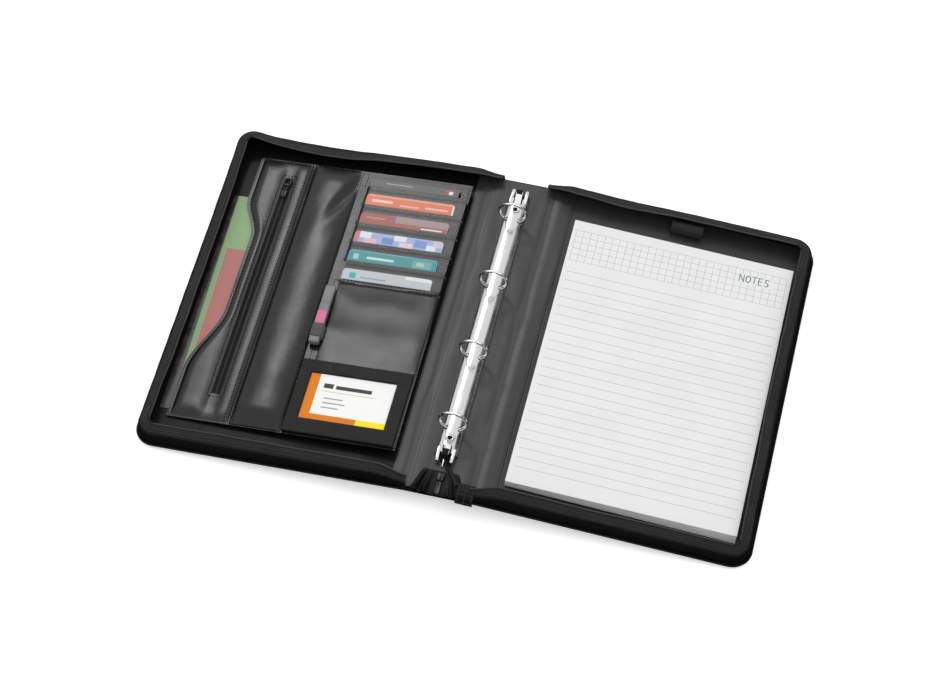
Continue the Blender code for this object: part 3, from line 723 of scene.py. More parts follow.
def gussets():
    """Wall, zip tape and coil round each cover. They are baked in place and ride on no body."""
    for word, place, body in (("back", BACK, "back_cover"), ("front", FRONT, "front_cover")):
        front = word == "front"
        path = rim_path(*RIM_ENDS[word], 3.5 * MM)
        length = path[-1][4]
        bend = ("spine", body, place.at(-3 * MM, 0, 0), place.at(9 * MM, 0, 0))

        top, bottom = swept(place, path, lambda spot: wall_line(front, spot, length), 1.1 * MM)
        verts, faces, _ = sheet_mesh(top, bottom)
        wall = piece("wall_" + word, verts, faces, BLACK_LEATHER, bend, stands_for=["gusset_band_" + word])

        top, bottom = swept(place, path, lambda spot: tape_line(front, spot, length), 0.6 * MM)
        verts, faces, order = sheet_mesh(top, bottom)
        tape = piece(
            "tape_" + word,
            verts,
            faces,
            TAPE_CLOTH,
            bend,
            stands_for=["zip_tape_" + word],
            slot="zip_tape",
            uvs=strip_uvs(path, order, 0.6 * MM),
        )
        fine = rim_path(*RIM_ENDS[word], 0.55 * MM)
        teeth = []
        for spot in fine:
            inset, height = tape_line(front, spot, length)[-1]
            teeth.append(place.at(*at_inset(spot, inset - 0.4 * MM), height + 0.1 * MM))
        verts, faces = tube_mesh(teeth, lambda k: (0.95 if k % 3 else 0.62) * MM, 6)
        piece("coil_" + word, verts, faces, COIL, bend, slot="zip_tape", sharp=50)

        run = []
        for spot in path:
            inset, height = tape_line(front, spot, length)[1]
            run.append(place.at(*at_inset(spot, inset + 0.6 * MM), height + 0.15 * MM))
        stitches("tape_stitches_" + word, [run], place.up, bend)


def linings():
    """The lining of each cover, with the slack of cloth glued over board."""
    for word, place, body in (("back", BACK, "back_cover"), ("front", FRONT, "front_cover")):
        front = word == "front"

        def height(u, v):
            distance = rim_distance(u, v, LINING_INSET)
            slack = 0.25 * MM * ripple(u, v, 55 * MM, 2.0) + 0.12 * MM * ripple(u, v, 17 * MM, 5.0)
            if front:
                fold = smooth((-v - 0.150) / 0.008) * smooth((u - 0.02) / 0.03)
                slack += fold * 3.2 * MM * (0.3 + ripple(u, v * 2.2, 60 * MM, 8.0))
            return LINING_TOP + slack - rolled(distance, 0.6 * MM)

        cover_sheet(
            "inner_cloth_" + word,
            place,
            LINING_LOW[0],
            LINING_INSET,
            height,
            0.6 * MM,
            BLACK_LEATHER if front else LINING_CLOTH,
            body,
            stands_for=["lining_" + word],
            slot="lining",
        )


def hinges():
    """Leather outside and lining inside over the spine and onto both covers. Only the middle leather rides on the
    spine; the hinge strips and the lining are baked in place and do not bend with the covers.
    """
    fold = 4.6 * MM
    half = HALF_LENGTH - SKIN_INSET

    def bent_spot(place, x):
        """Place x, measured from the spine's middle, on the spine or on a cover."""
        beyond = abs(x) - SPINE_HALF
        if beyond <= 0:
            return SPINE, x
        return place, beyond

    def strip(name, positions, height, thick, look, body, ends=None, **facts):
        place = BACK if positions[-1] > SPINE_HALF else FRONT
        low, high = ends or (-half, half)
        rows = spaced(low, high, 4 * MM)
        top, bottom = [], []
        for x in positions:
            where, u = bent_spot(place, x)
            top.append([where.at(u, v, height(x, v)) for v in rows])
            bottom.append([where.at(u, v, height(x, v) - thick) for v in rows])
        verts, faces, _ = sheet_mesh(top, bottom)
        return piece(name, verts, faces, look, body, **facts)

    def across(low, high, step):
        count = max(int((high - low) / step), 1)
        return [low + (high - low) * k / count for k in range(count + 1)]

    def skin_height(x, v):
        return SKIN_HIGH[2]

    reach = SPINE_HALF - fold
    bend_back = ("spine", "back_cover", (SPINE_HALF - 4 * MM, 0, 0), (SPINE_HALF + 4 * MM, 0, 0))
    bend_front = ("spine", "front_cover", (4 * MM - SPINE_HALF, 0, 0), (-4 * MM - SPINE_HALF, 0, 0))
    strip("leather_spine", across(-reach, reach, 6 * MM), skin_height, SKIN_HIGH[2], BLACK_LEATHER, "spine",
          stands_for=["outer_spine"])
    outer = SPINE_HALF + SKIN_LOW[0]
    strip("hinge_leather_back", across(reach, outer, 0.8 * MM), skin_height, SKIN_HIGH[2],
          BLACK_LEATHER, bend_back)
    strip("hinge_leather_front", across(-outer, -reach, 0.8 * MM), skin_height, SKIN_HIGH[2],
          BLACK_LEATHER, bend_front)

    def cloth_height(x, v):
        slack = 0.4 * MM * ripple(x, v * 0.16, 11 * MM, 3.0) + 0.5 * MM * ripple(x, v, 42 * MM, 6.0)
        crease = 0.0
        for centre, tilt in ((0.028, 0.35), (-0.052, 0.3), (-0.118, 0.42), (0.094, 0.2)):
            away = v - centre + (x - 0.02) * tilt
            crease += bell(away, 0, 2.2 * MM) * smooth((x - 0.008) / 0.01)
        groove = 0.9 * MM * bell(abs(x), SPINE_HALF, 4 * MM)
        height = LINING_TOP + 0.5 * MM + slack * smooth((abs(x) - 0.011) / 0.006) - crease * 0.9 * MM - groove
        return max(height, LINING_TOP)

    seam = SPINE_HALF + 20.6 * MM
    cloth_half = HALF_LENGTH - LINING_INSET

    def edge_height(x, v):
        turned = rolled(min(seam - x, cloth_half - abs(v)), 0.8 * MM)
        return cloth_height(x, v) + 0.7 * MM * smooth((x - SPINE_HALF) / 0.01) - turned

    right = across(-reach, reach, 2 * MM) + across(reach, seam, 0.9 * MM)[1:]
    right = right[:-1] + [seam - 0.3 * MM, seam]
    ends = (-cloth_half, cloth_half)
    strip("spine_cloth", right, edge_height, 0.6 * MM, LINING_CLOTH, bend_back, ends,
          stands_for=["lining_spine"], slot="lining")
    left = across(-SPINE_HALF - 13.5 * MM, -reach - 0.2 * MM, 0.9 * MM)

    def left_height(x, v):
        settled = smooth((-x - SPINE_HALF) / 0.01)
        return cloth_height(x, v) * (1 - settled) + (LINING_TOP + 0.6 * MM) * settled

    strip("spine_cloth_front", left, left_height, 0.6 * MM, LINING_CLOTH, bend_front, ends, slot="lining")
    run = []
    for k in range(90):
        v = -cloth_half + 2 * MM + (2 * cloth_half - 4 * MM) * k / 89
        run.append(BACK.at(18.2 * MM, v, edge_height(SPINE_HALF + 18.2 * MM, v) + 0.05 * MM))
    stitches("spine_stitches", [run], BACK.up, "back_cover")
    board = frame["nodes"]["board_spine"].data
    board.materials.clear()
    board.materials.append(GREYBOARD)


def spine_fan():
    """The gusset cloth folded into a fan at the foot of the spine, and the strap over it."""
    low, high = extent("spine_end_gusset", SPINE)
    outer, inner = -HALF_LENGTH + 1.0 * MM, high[1] + 12 * MM
    rows = [outer + (inner - outer) * k / 14 for k in range(15)]
    columns = [-1 + k / 36 for k in range(73)]

    def spot(v, side):
        share = (v - outer) / (inner - outer)
        reach = (25.4 - 9 * share) * MM
        u = side * reach - 1 * MM * share
        pleat = 0.5 + 0.5 * math.cos(side * 2.6 * 2 * math.pi + 1.1)
        clear = smooth((abs(u) - 6 * MM) / (7 * MM))
        rise = 5.5 * MM * pleat * clear * (1 - share) ** 0.7
        rise += 0.7 * MM * ripple(u, v, 9 * MM, 4.0) * clear
        hem = rolled(v - outer, 1.2 * MM)
        return u, v, LINING_TOP + 1.6 * MM + max(rise, 0) - hem

    fan = sheet("spine_fan", SPINE, rows, columns, spot, 0.8 * MM, BLACK_LEATHER, "spine",
                stands_for=["spine_end_gusset"])
    path = [
        SPINE.at(0.8 * MM, -145 * MM, LINING_TOP + 2.2 * MM),
        SPINE.at(3.5 * MM, -150 * MM, LINING_TOP + 3.0 * MM),
        SPINE.at(7.5 * MM, -156 * MM, LINING_TOP + 4.2 * MM),
        SPINE.at(12 * MM, -163 * MM, LINING_TOP + 5.3 * MM),
        SPINE.at(16 * MM, -170 * MM, LINING_TOP + 6.2 * MM),
    ]
    rows = [k / 20 for k in range(21)]
    columns = [-1, -0.8, -0.3, 0.3, 0.8, 1]

    def strap_spot(share, side):
        x = share * (len(path) - 1)
        k = min(int(x), len(path) - 2)
        point = path[k].lerp(path[k + 1], x - k)
        u, v, w = SPINE.inside(point)
        half = 1.9 * MM
        return u + side * half * 0.85, v + side * half * 0.5, w + 0.7 * MM * (1 - side ** 2)

    sheet("spine_strap", SPINE, rows, columns, strap_spot, 0.9 * MM, BLACK_LEATHER, "spine")


def end_tab():
    """The box-stitched leather tab that caps the end of the zip by the spine's foot."""
    rows = spaced(-13 * MM, 3 * MM, 2 * MM)
    columns = [k / 16 for k in range(17)]
    profile = [(-168, 10.4), (-172, 12.0), (-176, 12.3), (-180, 11.2), (-183, 8.2), (-184, 4.6),
               (-183.6, 1.6)]

    def spot(u, share):
        x = share * (len(profile) - 1)
        k = min(int(x), len(profile) - 2)
        v = profile[k][0] + (profile[k + 1][0] - profile[k][0]) * (x - k)
        w = profile[k][1] + (profile[k + 1][1] - profile[k][1]) * (x - k)
        return u, v * MM, w * MM

    bend = ("spine", "back_cover", BACK.at(-3 * MM, 0, 0), BACK.at(9 * MM, 0, 0))
    local = [[spot(u, share) for share in columns] for u in rows]
    top = [[BACK.at(*p) for p in line] for line in local]
    bottom = [[BACK.at(p[0], p[1] + 1.2 * MM, p[2] - 0.8 * MM) for p in line] for line in local]
    verts, faces, _ = sheet_mesh(top, bottom)
    piece("zip_end_tab", verts, faces, BLACK_LEATHER, bend)
    runs = []
    for u0, s0, u1, s1 in (
        (-11.5, 0.08, -11.5, 0.8), (1.5, 0.08, 1.5, 0.8), (-11.5, 0.08, 1.5, 0.08),
        (-11.5, 0.45, 1.5, 0.45), (-11.5, 0.8, 1.5, 0.8), (-5, 0.08, -5, 0.8),
    ):
        run = []
        for k in range(9):
            u = (u0 + (u1 - u0) * k / 8) * MM
            point = spot(u, s0 + (s1 - s0) * k / 8)
            run.append(BACK.at(point[0], point[1] - 0.1 * MM, point[2] + 0.15 * MM))
        runs.append(run)
    stitches("zip_end_stitches", runs, (BACK.up - ALONG * 0.4).normalized(), bend, pitch=2.3 * MM)


# ---------------------------------------------------------------- organiser

def top_profile(name, place):
    """A CAD node's upper line along the hinge direction, as a function of v."""
    spots = sorted(place.inside(vertex.co)[1:] for vertex in frame["nodes"][name].data.vertices)
    line = {}
    for v, w in spots:
        line[round(v, 4)] = max(w, line.get(round(v, 4), w))
    known = sorted(line.items())

    def height(v):
        if v <= known[0][0]:
            return known[0][1]
        for (v0, w0), (v1, w1) in zip(known, known[1:]):
            if v <= v1:
                return w0 + (w1 - w0) * (v - v0) / (v1 - v0)
        return known[-1][1]

    return height


PANEL_LOW, PANEL_HIGH = extent("organiser_panel", ORGANISER)
SLOT_LOW, SLOT_HIGH = extent("pocket_zip_tape", ORGANISER)
CUT_MIDDLE = PANEL_HIGH[0] - 20 * MM
CUT_HEAD = PANEL_HIGH[0] - 5 * MM


def panel_edge(v):
    """The organiser's outer edge, with its S-shaped cut-out."""
    upper = smooth((v - 62 * MM) / (44 * MM))
    lower = smooth((-24 * MM - v) / (72 * MM))
    return CUT_MIDDLE + (CUT_HEAD - CUT_MIDDLE) * upper + (PANEL_HIGH[0] - CUT_MIDDLE) * lower


def panel_height(u, v):
    """The leather of the zip panel, which swells over its stuffing and dips at its seams."""
    edge = min(panel_edge(v) - u, PANEL_HIGH[1] - v, v - PANEL_LOW[1])
    swell = 1.9 * MM * smooth((u - 168 * MM) / (12 * MM)) * smooth(edge / (11 * MM))
    dip = 2.4 * MM * bell(u, (SLOT_LOW[0] + SLOT_HIGH[0]) / 2, 9 * MM) * smooth((edge - 4 * MM) / (9 * MM))
    slack = 0.6 * MM * ripple(u, v, 60 * MM, 2.5) + 0.12 * MM * ripple(u, v, 15 * MM, 6.5)
    seam = 0.9 * MM * bell(u, 169 * MM, 1.6 * MM) + 0.35 * MM * bell(edge, 3.2 * MM, 0.9 * MM)
    height = PANEL_HIGH[2] + swell - dip * 0.8 + slack * smooth(edge / (6 * MM)) - seam - rolled(edge,
        1.1 * MM)
    return max(height, PANEL_HIGH[2])


def organiser_panels():
    rows = spaced(PANEL_LOW[1], PANEL_HIGH[1], 5 * MM)
    rows = with_lines(rows, (SLOT_LOW[1], SLOT_HIGH[1]))
    flat = spaced(PANEL_LOW[0], 185 * MM, 6 * MM)
    flat = with_lines(flat, (168.2 * MM, 169.2 * MM, 170 * MM, 170.8 * MM, 171.8 * MM))
    columns = [(u, 0) for u in flat]
    for k in range(1, 6):
        columns.append((185 * MM + (SLOT_LOW[0] - 185 * MM) * k / 5, 0))
    columns += [(SLOT_HIGH[0] + 0.4 * MM * k, 0) for k in range(6)]
    beyond = columns[-1][0]
    inner = [k / 14 for k in range(1, 12)]
    columns += [(beyond, share) for share in inner]
    columns += [(-1, back) for back in (6 * MM, 4.2 * MM, 3.6 * MM, 3.2 * MM, 2.8 * MM, 2.2 * MM, 1.2 * MM,
                                        0.6 * MM, 0.25 * MM, 0.0)]
    slot_column = columns.index((SLOT_HIGH[0], 0)) - 1

    def spot(v, column):
        start, share = column
        if start < 0:
            u = panel_edge(v) - share
        else:
            u = start + (panel_edge(v) - 7 * MM - start) * share * 14 / 12 if share else start
        return u, v, panel_height(u, v)

    def keep(i, j):
        in_slot = rows[i] >= SLOT_LOW[1] - 1e-6 and rows[i + 1] <= SLOT_HIGH[1] + 1e-6
        return not (in_slot and j == slot_column)

    sheet("panel_leather", ORGANISER, rows, columns, spot, 0.6 * MM, PANEL_LEATHER, "organiser", keep,
          stands_for=["organiser_panel"])

    def over(u, v):
        return panel_height(u, v) + 0.05 * MM

    runs = [straight(ORGANISER, 171.9 * MM, PANEL_LOW[1] + 2 * MM, 171.9 * MM, PANEL_HIGH[1] - 2 * MM, over)]
    edge_run = []
    for k in range(101):
        v = PANEL_LOW[1] + 3 * MM + (PANEL_HIGH[1] - PANEL_LOW[1] - 6 * MM) * k / 100
        edge_run.append(ORGANISER.at(panel_edge(v) - 3.2 * MM, v, over(panel_edge(v) - 3.2 * MM, v)))
    runs.append(edge_run)
    left, right = SLOT_HIGH[0] + 3.2 * MM, SLOT_LOW[0] - 3.2 * MM
    head, foot = SLOT_HIGH[1] + 3.2 * MM, SLOT_LOW[1] - 3.2 * MM
    for u0, v0, u1, v1 in (
        (left, foot, left, head), (right, foot, right, head), (right, head, left, head),
                           (right, foot, left, foot),
    ):
        runs.append(straight(ORGANISER, u0, v0, u1, v1, over))
    top_v = PANEL_HIGH[1] - 3.2 * MM
    runs.append(straight(ORGANISER, 174 * MM, top_v, panel_edge(top_v) - 4 * MM, top_v, over))
    runs.append(straight(ORGANISER, 175.2 * MM, PANEL_LOW[1] + 2 * MM, 175.2 * MM, PANEL_HIGH[1] - 2 * MM,
                         over))
    stitches("panel_stitches", runs, ORGANISER.up, "organiser", DARK_THREAD_AND_SEAM_SHADE)
    # Painted shadow: a dark tube laid along the seam between the organiser's panels stands in for the shade in that
    # seam.
    seam = straight(ORGANISER, 169.4 * MM, PANEL_LOW[1] + 1 * MM, 169.4 * MM, PANEL_HIGH[1] - 1 * MM, over)
    verts, faces = tube_mesh(seam, 0.75 * MM, 8)
    piece("painted_seam_shadow", verts, faces, DARK_THREAD_AND_SEAM_SHADE, "organiser", slot="lining")


def pocket_zip():
    """The sunk zip of the side pocket: two woven tapes and a closed coil."""
    middle = (SLOT_LOW[0] + SLOT_HIGH[0]) / 2
    rows = spaced(SLOT_LOW[1] - 3 * MM, SLOT_HIGH[1] + 3 * MM, 5 * MM)
    columns = spaced(SLOT_LOW[0] - 3 * MM, SLOT_HIGH[0] + 3 * MM, 1.0 * MM, (0.3 * MM, 0.8 * MM))

    def spot(v, u):
        away = abs(u - middle)
        rib = 0.12 * MM * math.cos(away / (1.3 * MM) * math.pi * 2)
        return u, v, 0.5 * MM + 0.2 * MM * bell(away, 0, 1.8 * MM) + rib * 0.5

    sheet("pocket_tape", ORGANISER, rows, columns, spot, 0.35 * MM, SLOT_CLOTH, "organiser",
          stands_for=["pocket_zip_tape"], slot="zip_tape")
    count = int((SLOT_HIGH[1] - SLOT_LOW[1]) / (0.6 * MM))
    path = []
    for k in range(count + 1):
        v = SLOT_LOW[1] + (SLOT_HIGH[1] - SLOT_LOW[1]) * k / count
        path.append(ORGANISER.at(middle + 0.25 * MM * (-1) ** k, v, 1.0 * MM))
    verts, faces = tube_mesh(path, lambda k: (0.9 if k % 3 else 0.65) * MM, 6)
    piece("pocket_coil", verts, faces, COIL, "organiser", slot="zip_tape", sharp=50)


def soft_panel():
    low, high = extent("soft_pocket_panel", ORGANISER)
    low[0] -= 3 * MM
    high[0] += 2.6 * MM
    rows = spaced(low[1], high[1], 4 * MM)
    columns = spaced(low[0], high[0], 2.5 * MM)
    middle, half = (low[0] + high[0]) / 2, (high[0] - low[0]) / 2

    def height(u, v):
        across = (u - middle) / half
        end = min(v - low[1], high[1] - v)
        puff = max(1 - across * across, 0) ** 0.7 * smooth(end / (22 * MM) + 0.12)
        fullness = 4.6 * MM + 0.5 * MM * ripple(0, v, 70 * MM, 3.0)
        fold = 0.5 * MM * ripple(u * 0.5 + v * 0.12, v * 0.35, 12 * MM, 9.0) * puff
        pulled = 2.6 * MM * bell(u + 0.42 * v, 0.182, 5 * MM) * smooth((v - 0.085) / 0.03)
        fine = 0.1 * MM * ripple(u, v, 7 * MM, 4.0)
        edge = min(u - low[0], high[0] - u, end)
        full = high[2] + puff * fullness + fold - pulled + fine - rolled(edge, 0.9 * MM)
        return max(full, low[2] + 0.65 * MM)

    def spot(v, u):
        return u, v, height(u, v)

    pocket = sheet("soft_pocket", ORGANISER, rows, columns, spot, 0.6 * MM, PANEL_LEATHER, "organiser",
                   stands_for=["soft_pocket_panel"])
    runs = []
    for u in (low[0] + 1.6 * MM, high[0] - 1.6 * MM):
        runs.append(straight(ORGANISER, u, low[1] + 2 * MM, u, high[1] - 2 * MM, height))
    runs.append(straight(ORGANISER, low[0] + 2 * MM, high[1] - 2 * MM, high[0] - 2 * MM, high[1] - 2 * MM,
                         height))
    stitches("soft_pocket_stitches", runs, ORGANISER.up, "organiser", DARK_THREAD_AND_SEAM_SHADE)


def rounded_sheet(name, place, low, high, height, corner, thick, look, body, **facts):
    """A flat piece from low to high (u, v) with rounded corners."""
    fine = tuple(corner * s for s in (0.08, 0.25, 0.55, 1.0))
    rows = spaced(low[1], high[1], 6 * MM, fine)
    columns = [-1, -0.985, -0.96, -0.9, -0.7, -0.45, -0.2, 0, 0.2, 0.45, 0.7, 0.9, 0.96, 0.985, 1]
    middle, half = (low[0] + high[0]) / 2, (high[0] - low[0]) / 2

    def spot(v, share):
        near = corner - min(v - low[1], high[1] - v)
        reach = half - corner + math.sqrt(max(corner ** 2 - max(near, 0) ** 2, 0))
        u = middle + share * reach
        return u, v, height(u, v)

    return sheet(name, place, rows, columns, spot, thick, look, body, **facts)


def card_look(name, base, layers):
    """A printed card. layers are (x0, x1, y0, y1, colour) in mm from its lower left."""
    made, tree, shader, tint = paper_base(name, base, 0.32)
    shader.inputs["Specular IOR Level"].default_value = 0.25
    x, y = print_place(tree)
    printed = []
    for x0, x1, y0, y1, colour in layers:
        printed.append((block(tree, x, y, x0 * MM, x1 * MM, y0 * MM, y1 * MM), colour))
    ink(tree, shader, tint, printed)
    return made


def card_looks():
    grey, teal, white = (0.3, 0.31, 0.32), (0.045, 0.24, 0.25), (0.62, 0.64, 0.66)
    return [
        card_look("card_look_1", (0.085, 0.087, 0.09), [
            (0, 86, 50, 54, (0.05, 0.05, 0.052)), (14, 40, 46, 47, grey),
                                                        (72, 80, 43.5, 48.5, (0.3, 0.06, 0.05)),
            (76, 80, 43.5, 47, white)]),
        card_look("card_look_2", (0.62, 0.155, 0.075), [
            (0, 86, 51.8, 54, (0.66, 0.28, 0.2)), (6, 26, 45.6, 48.6, (0.72, 0.5, 0.42)),
            (34, 52, 44, 46, (0.66, 0.36, 0.28)), (58, 80, 45, 47, (0.66, 0.42, 0.36)),
                                                        (84, 86, 0, 54, white)]),
        card_look("card_look_3", (0.3, 0.09, 0.075), [
            (34, 86, 46.5, 54, (0.3, 0.22, 0.21)), (6, 24, 48, 49.6, (0.4, 0.2, 0.18)),
                                                      (60, 80, 43, 44.5, white)]),
        card_look("card_look_4", (0.3, 0.37, 0.58), [
            (0, 5, 42, 54, (0.5, 0.14, 0.2)), (5, 16, 47, 54, white), (10, 22, 41, 47, (0.6, 0.4, 0.46)),
            (27, 38, 43, 50, (0.12, 0.2, 0.5)), (38, 50, 48, 54, white), (44, 57, 41, 47, (0.62, 0.5, 0.55)),
            (58, 70, 44, 52, (0.16, 0.25, 0.5)), (70, 79, 42, 48, white),
                                                     (76, 86, 47, 54, (0.5, 0.45, 0.55))]),
        card_look("card_look_5", teal, [
            (0, 86, 52.6, 54, (0.1, 0.34, 0.35)), (5, 10, 44, 50, (0.25, 0.5, 0.5)),
                                        (18, 44, 45.5, 48, (0.5, 0.62, 0.62)),
            (62, 80, 43, 51, (0.12, 0.34, 0.3)), (66, 73, 45, 49, (0.32, 0.48, 0.36))]),
        card_look("card_look_6", (0.44, 0.47, 0.5), [
            (7, 13, 44, 50, (0.04, 0.33, 0.36)), (18, 42, 45, 46.6, (0.2, 0.3, 0.33)),
                                                     (60, 86, 50, 54, white)]),
    ]


def cards():
    looks = card_looks()
    for k in range(6):
        low, high = extent("card_%d" % (k + 1), ORGANISER)
        thick = 0.6 * MM
        slope = (high[2] - low[2] - thick) / (high[1] - low[1])

        def height(u, v):
            return low[2] + thick + slope * (v - low[1])

        rounded_sheet(
            "plastic_card_%d" % (k + 1), ORGANISER, low, high, height, 3.2 * MM, thick, looks[k],
                      "card_%d" % (k + 1),
            printed=(high[0], low[1], -1), stands_for=["card_%d" % (k + 1)], slot="card_%d" % (k + 1),
                      sharp=50,
        )


SEWN_TOP = 2.0 * MM      # where the strips' free ends are sewn down, clear of the USB stick
CARDS_END = 110.65 * MM  # just outside the cards' outer edge
SUNK = 0.45 * MM         # how deep the strips' thread lies, so that a card slides over it


def card_slots():
    """The card strips, each with a turned and stitched top, and the long panel below them."""
    runs = []
    for k in range(5):
        name = "card_slot_%d" % (k + 1)
        low, high = extent(name, ORGANISER)
        low[0], high[0] = PANEL_LOW[0] + 0.4 * MM, high[0] + 6 * MM
        line = top_profile(name, ORGANISER)
        fall = 0.55 * MM if k == 4 else 3 * MM

        def height(u, v):
            turned = 0.05 * MM * smooth((v - high[1] + 5.4 * MM) / (0.6 * MM))
            edge = min(u - low[0], high[0] - u, high[1] - v)
            slack = 0.03 * MM * abs(ripple(u, v, 18 * MM, 3.0 + k))
            sewn = smooth((u - CARDS_END) / fall)
            raised = line(v) + turned + slack - rolled(edge, 0.25 * MM)
            return raised * (1 - sewn) + SEWN_TOP * sewn

        rows = with_lines(spaced(low[1], high[1], 3 * MM), (high[1] - 5.4 * MM, high[1] - 4.8 * MM))
        columns = with_lines(spaced(low[0], high[0], 6 * MM),
                             [CARDS_END + step * MM for step in (0, 0.27, 0.55, 3)])
        sheet("card_strip_%d" % (k + 1), ORGANISER, rows, columns, lambda v, u: (u, v, height(u, v)),
              0.4 * MM,
              PANEL_LEATHER, "organiser", stands_for=[name])

        def sunk(u, v):
            return height(u, v) - SUNK

        runs.append(straight(ORGANISER, low[0] + 2 * MM, high[1] - 1.6 * MM, 110 * MM, high[1] - 1.6 * MM,
                             sunk))
        for u in (low[0] + 1.8 * MM, high[0] - 1.8 * MM):
            runs.append(straight(ORGANISER, u, low[1] + 1 * MM, u, high[1] - 1 * MM, sunk))
    low, high = extent("lower_pocket_panel", ORGANISER)
    low[0] = PANEL_LOW[0] + 0.4 * MM
    high[0] += 1.6 * MM
    line = top_profile("lower_pocket_panel", ORGANISER)

    def panel_top(u, v):
        edge = min(u - low[0], high[0] - u, high[1] - v)
        turned = 0.35 * MM * smooth((v - high[1] + 5.4 * MM) / (0.6 * MM))
        slack = 1.3 * MM * abs(ripple(u, v, 45 * MM, 2.0)) + 0.15 * MM * abs(ripple(u, v, 12 * MM, 7.0))
        return line(v) + turned + slack * smooth(edge / (4 * MM)) - rolled(edge, 0.7 * MM)

    rows = with_lines(spaced(low[1], high[1], 5 * MM), (high[1] - 5.4 * MM, high[1] - 4.8 * MM))
    columns = spaced(low[0], high[0], 6 * MM)
    sheet("lower_pocket", ORGANISER, rows, columns, lambda v, u: (u, v, panel_top(u, v)), 0.4 * MM,
          PANEL_LEATHER, "organiser", stands_for=["lower_pocket_panel"])
    for down in (1.6 * MM, 5.0 * MM):
        runs.append(straight(ORGANISER, low[0] + 2 * MM, high[1] - down, high[0] - 2 * MM, high[1] - down,
                             panel_top))
    for u in (PANEL_LOW[0] + 2.2 * MM, 116.5 * MM):
        runs.append(straight(ORGANISER, u, PANEL_LOW[1] + 2 * MM, u, PANEL_HIGH[1] - 2 * MM,
                             lambda u, v: panel_height(u, v) + 0.05 * MM))
    side = low[0] + 1.8 * MM
    runs.append(straight(ORGANISER, side, low[1] + 2 * MM, side, high[1] - 2 * MM, panel_top))
    stitches("card_stitches", runs, ORGANISER.up, "organiser", DARK_THREAD_AND_SEAM_SHADE, radius=0.42 * MM)


def id_window():
    low, high = extent("id_window_frame", ORGANISER)
    card_low, card_high = extent("business_card", ORGANISER)
    overlap = 2.5 * MM
    inner = (card_low[0] + overlap, card_high[0] - overlap, card_low[1] + overlap, card_high[1] - overlap)

    def height(u, v):
        edge = min(u - low[0], high[0] - u, v - low[1], high[1] - v)
        lip = max(inner[0] - u, u - inner[1], inner[2] - v, v - inner[3])
        slack = 0.35 * MM * ripple(u, v, 24 * MM, 5.0) * smooth(lip / (5 * MM))
        return high[2] + 0.5 * MM + slack - rolled(edge, 0.7 * MM) - rolled(lip, 0.7 * MM)

    columns = with_lines(spaced(low[0], high[0], 5 * MM), [
        inner[0] - 1.0 * MM, inner[0] - 0.3 * MM, inner[0], inner[1], inner[1] + 0.3 * MM,
                                                           inner[1] + 1.0 * MM])
    rows = with_lines(spaced(low[1], high[1], 5 * MM), [
        inner[2] - 1.0 * MM, inner[2] - 0.3 * MM, inner[2], inner[3], inner[3] + 0.3 * MM,
                                                        inner[3] + 1.0 * MM])

    def keep(i, j):
        u, v = (columns[j] + columns[j + 1]) / 2, (rows[i] + rows[i + 1]) / 2
        return not (inner[0] < u < inner[1] and inner[2] < v < inner[3])

    sheet("id_frame", ORGANISER, rows, columns, lambda v, u: (u, v, height(u, v)), 0.8 * MM, BLACK_LEATHER,
          "organiser", keep, stands_for=["id_window_frame"])
    runs = []
    inset, away = 1.8 * MM, 2 * MM
    for u0, u1, v0, v1 in (
        (low[0] + inset, high[0] - inset, low[1] + inset, high[1] - inset),
        (inner[0] - away, inner[1] + away, inner[2] - away, inner[3] + away),
    ):
        for line in ((u0, v0, u0, v1), (u1, v0, u1, v1), (u0, v1, u1, v1), (u0, v0, u1, v0)):
            runs.append(straight(ORGANISER, *line, height))
    stitches("id_stitches", runs, ORGANISER.up, "organiser", THREAD, radius=0.34 * MM)

    made, tree, shader, tint = paper_base("business_card_print", (0.86, 0.86, 0.85), 0.5)
    x, y = print_place(tree)
    orange, yellow, dark = (0.70, 0.19, 0.004), (0.92, 0.74, 0.01), (0.05, 0.05, 0.055)
    shader.inputs["Specular IOR Level"].default_value = 0.2
    ink(tree, shader, tint, [
        (block(tree, x, y, 0, 11.5 * MM, 0, 55 * MM), orange),
        (block(tree, x, y, 0, 85 * MM, 0, 9 * MM), orange),
        (block(tree, x, y, 55 * MM, 85 * MM, 0, 9 * MM), yellow),
        (block(tree, x, y, 17 * MM, 26 * MM, 38 * MM, 43 * MM), dark),
        (block(tree, x, y, 28.5 * MM, 62 * MM, 38 * MM, 42 * MM), dark),
        (block(tree, x, y, 17 * MM, 66 * MM, 34 * MM, 34.8 * MM), (0.45, 0.62, 0.3)),
        (block(tree, x, y, 20 * MM, 38 * MM, 26.5 * MM, 27.8 * MM), (0.3, 0.3, 0.3)),
        (block(tree, x, y, 20 * MM, 41 * MM, 21.5 * MM, 22.8 * MM), (0.3, 0.3, 0.3)),
        (block(tree, x, y, 20 * MM, 36 * MM, 16.5 * MM, 17.8 * MM), (0.3, 0.3, 0.3)),
    ])
    rounded_sheet("name_card", ORGANISER, card_low, card_high, lambda u, v: card_high[2], 1.0 * MM,
                  card_high[2] - card_low[2], made, "business_card", printed=(card_high[0], card_low[1], -1),
                  stands_for=["business_card"], slot="business_card", sharp=50)


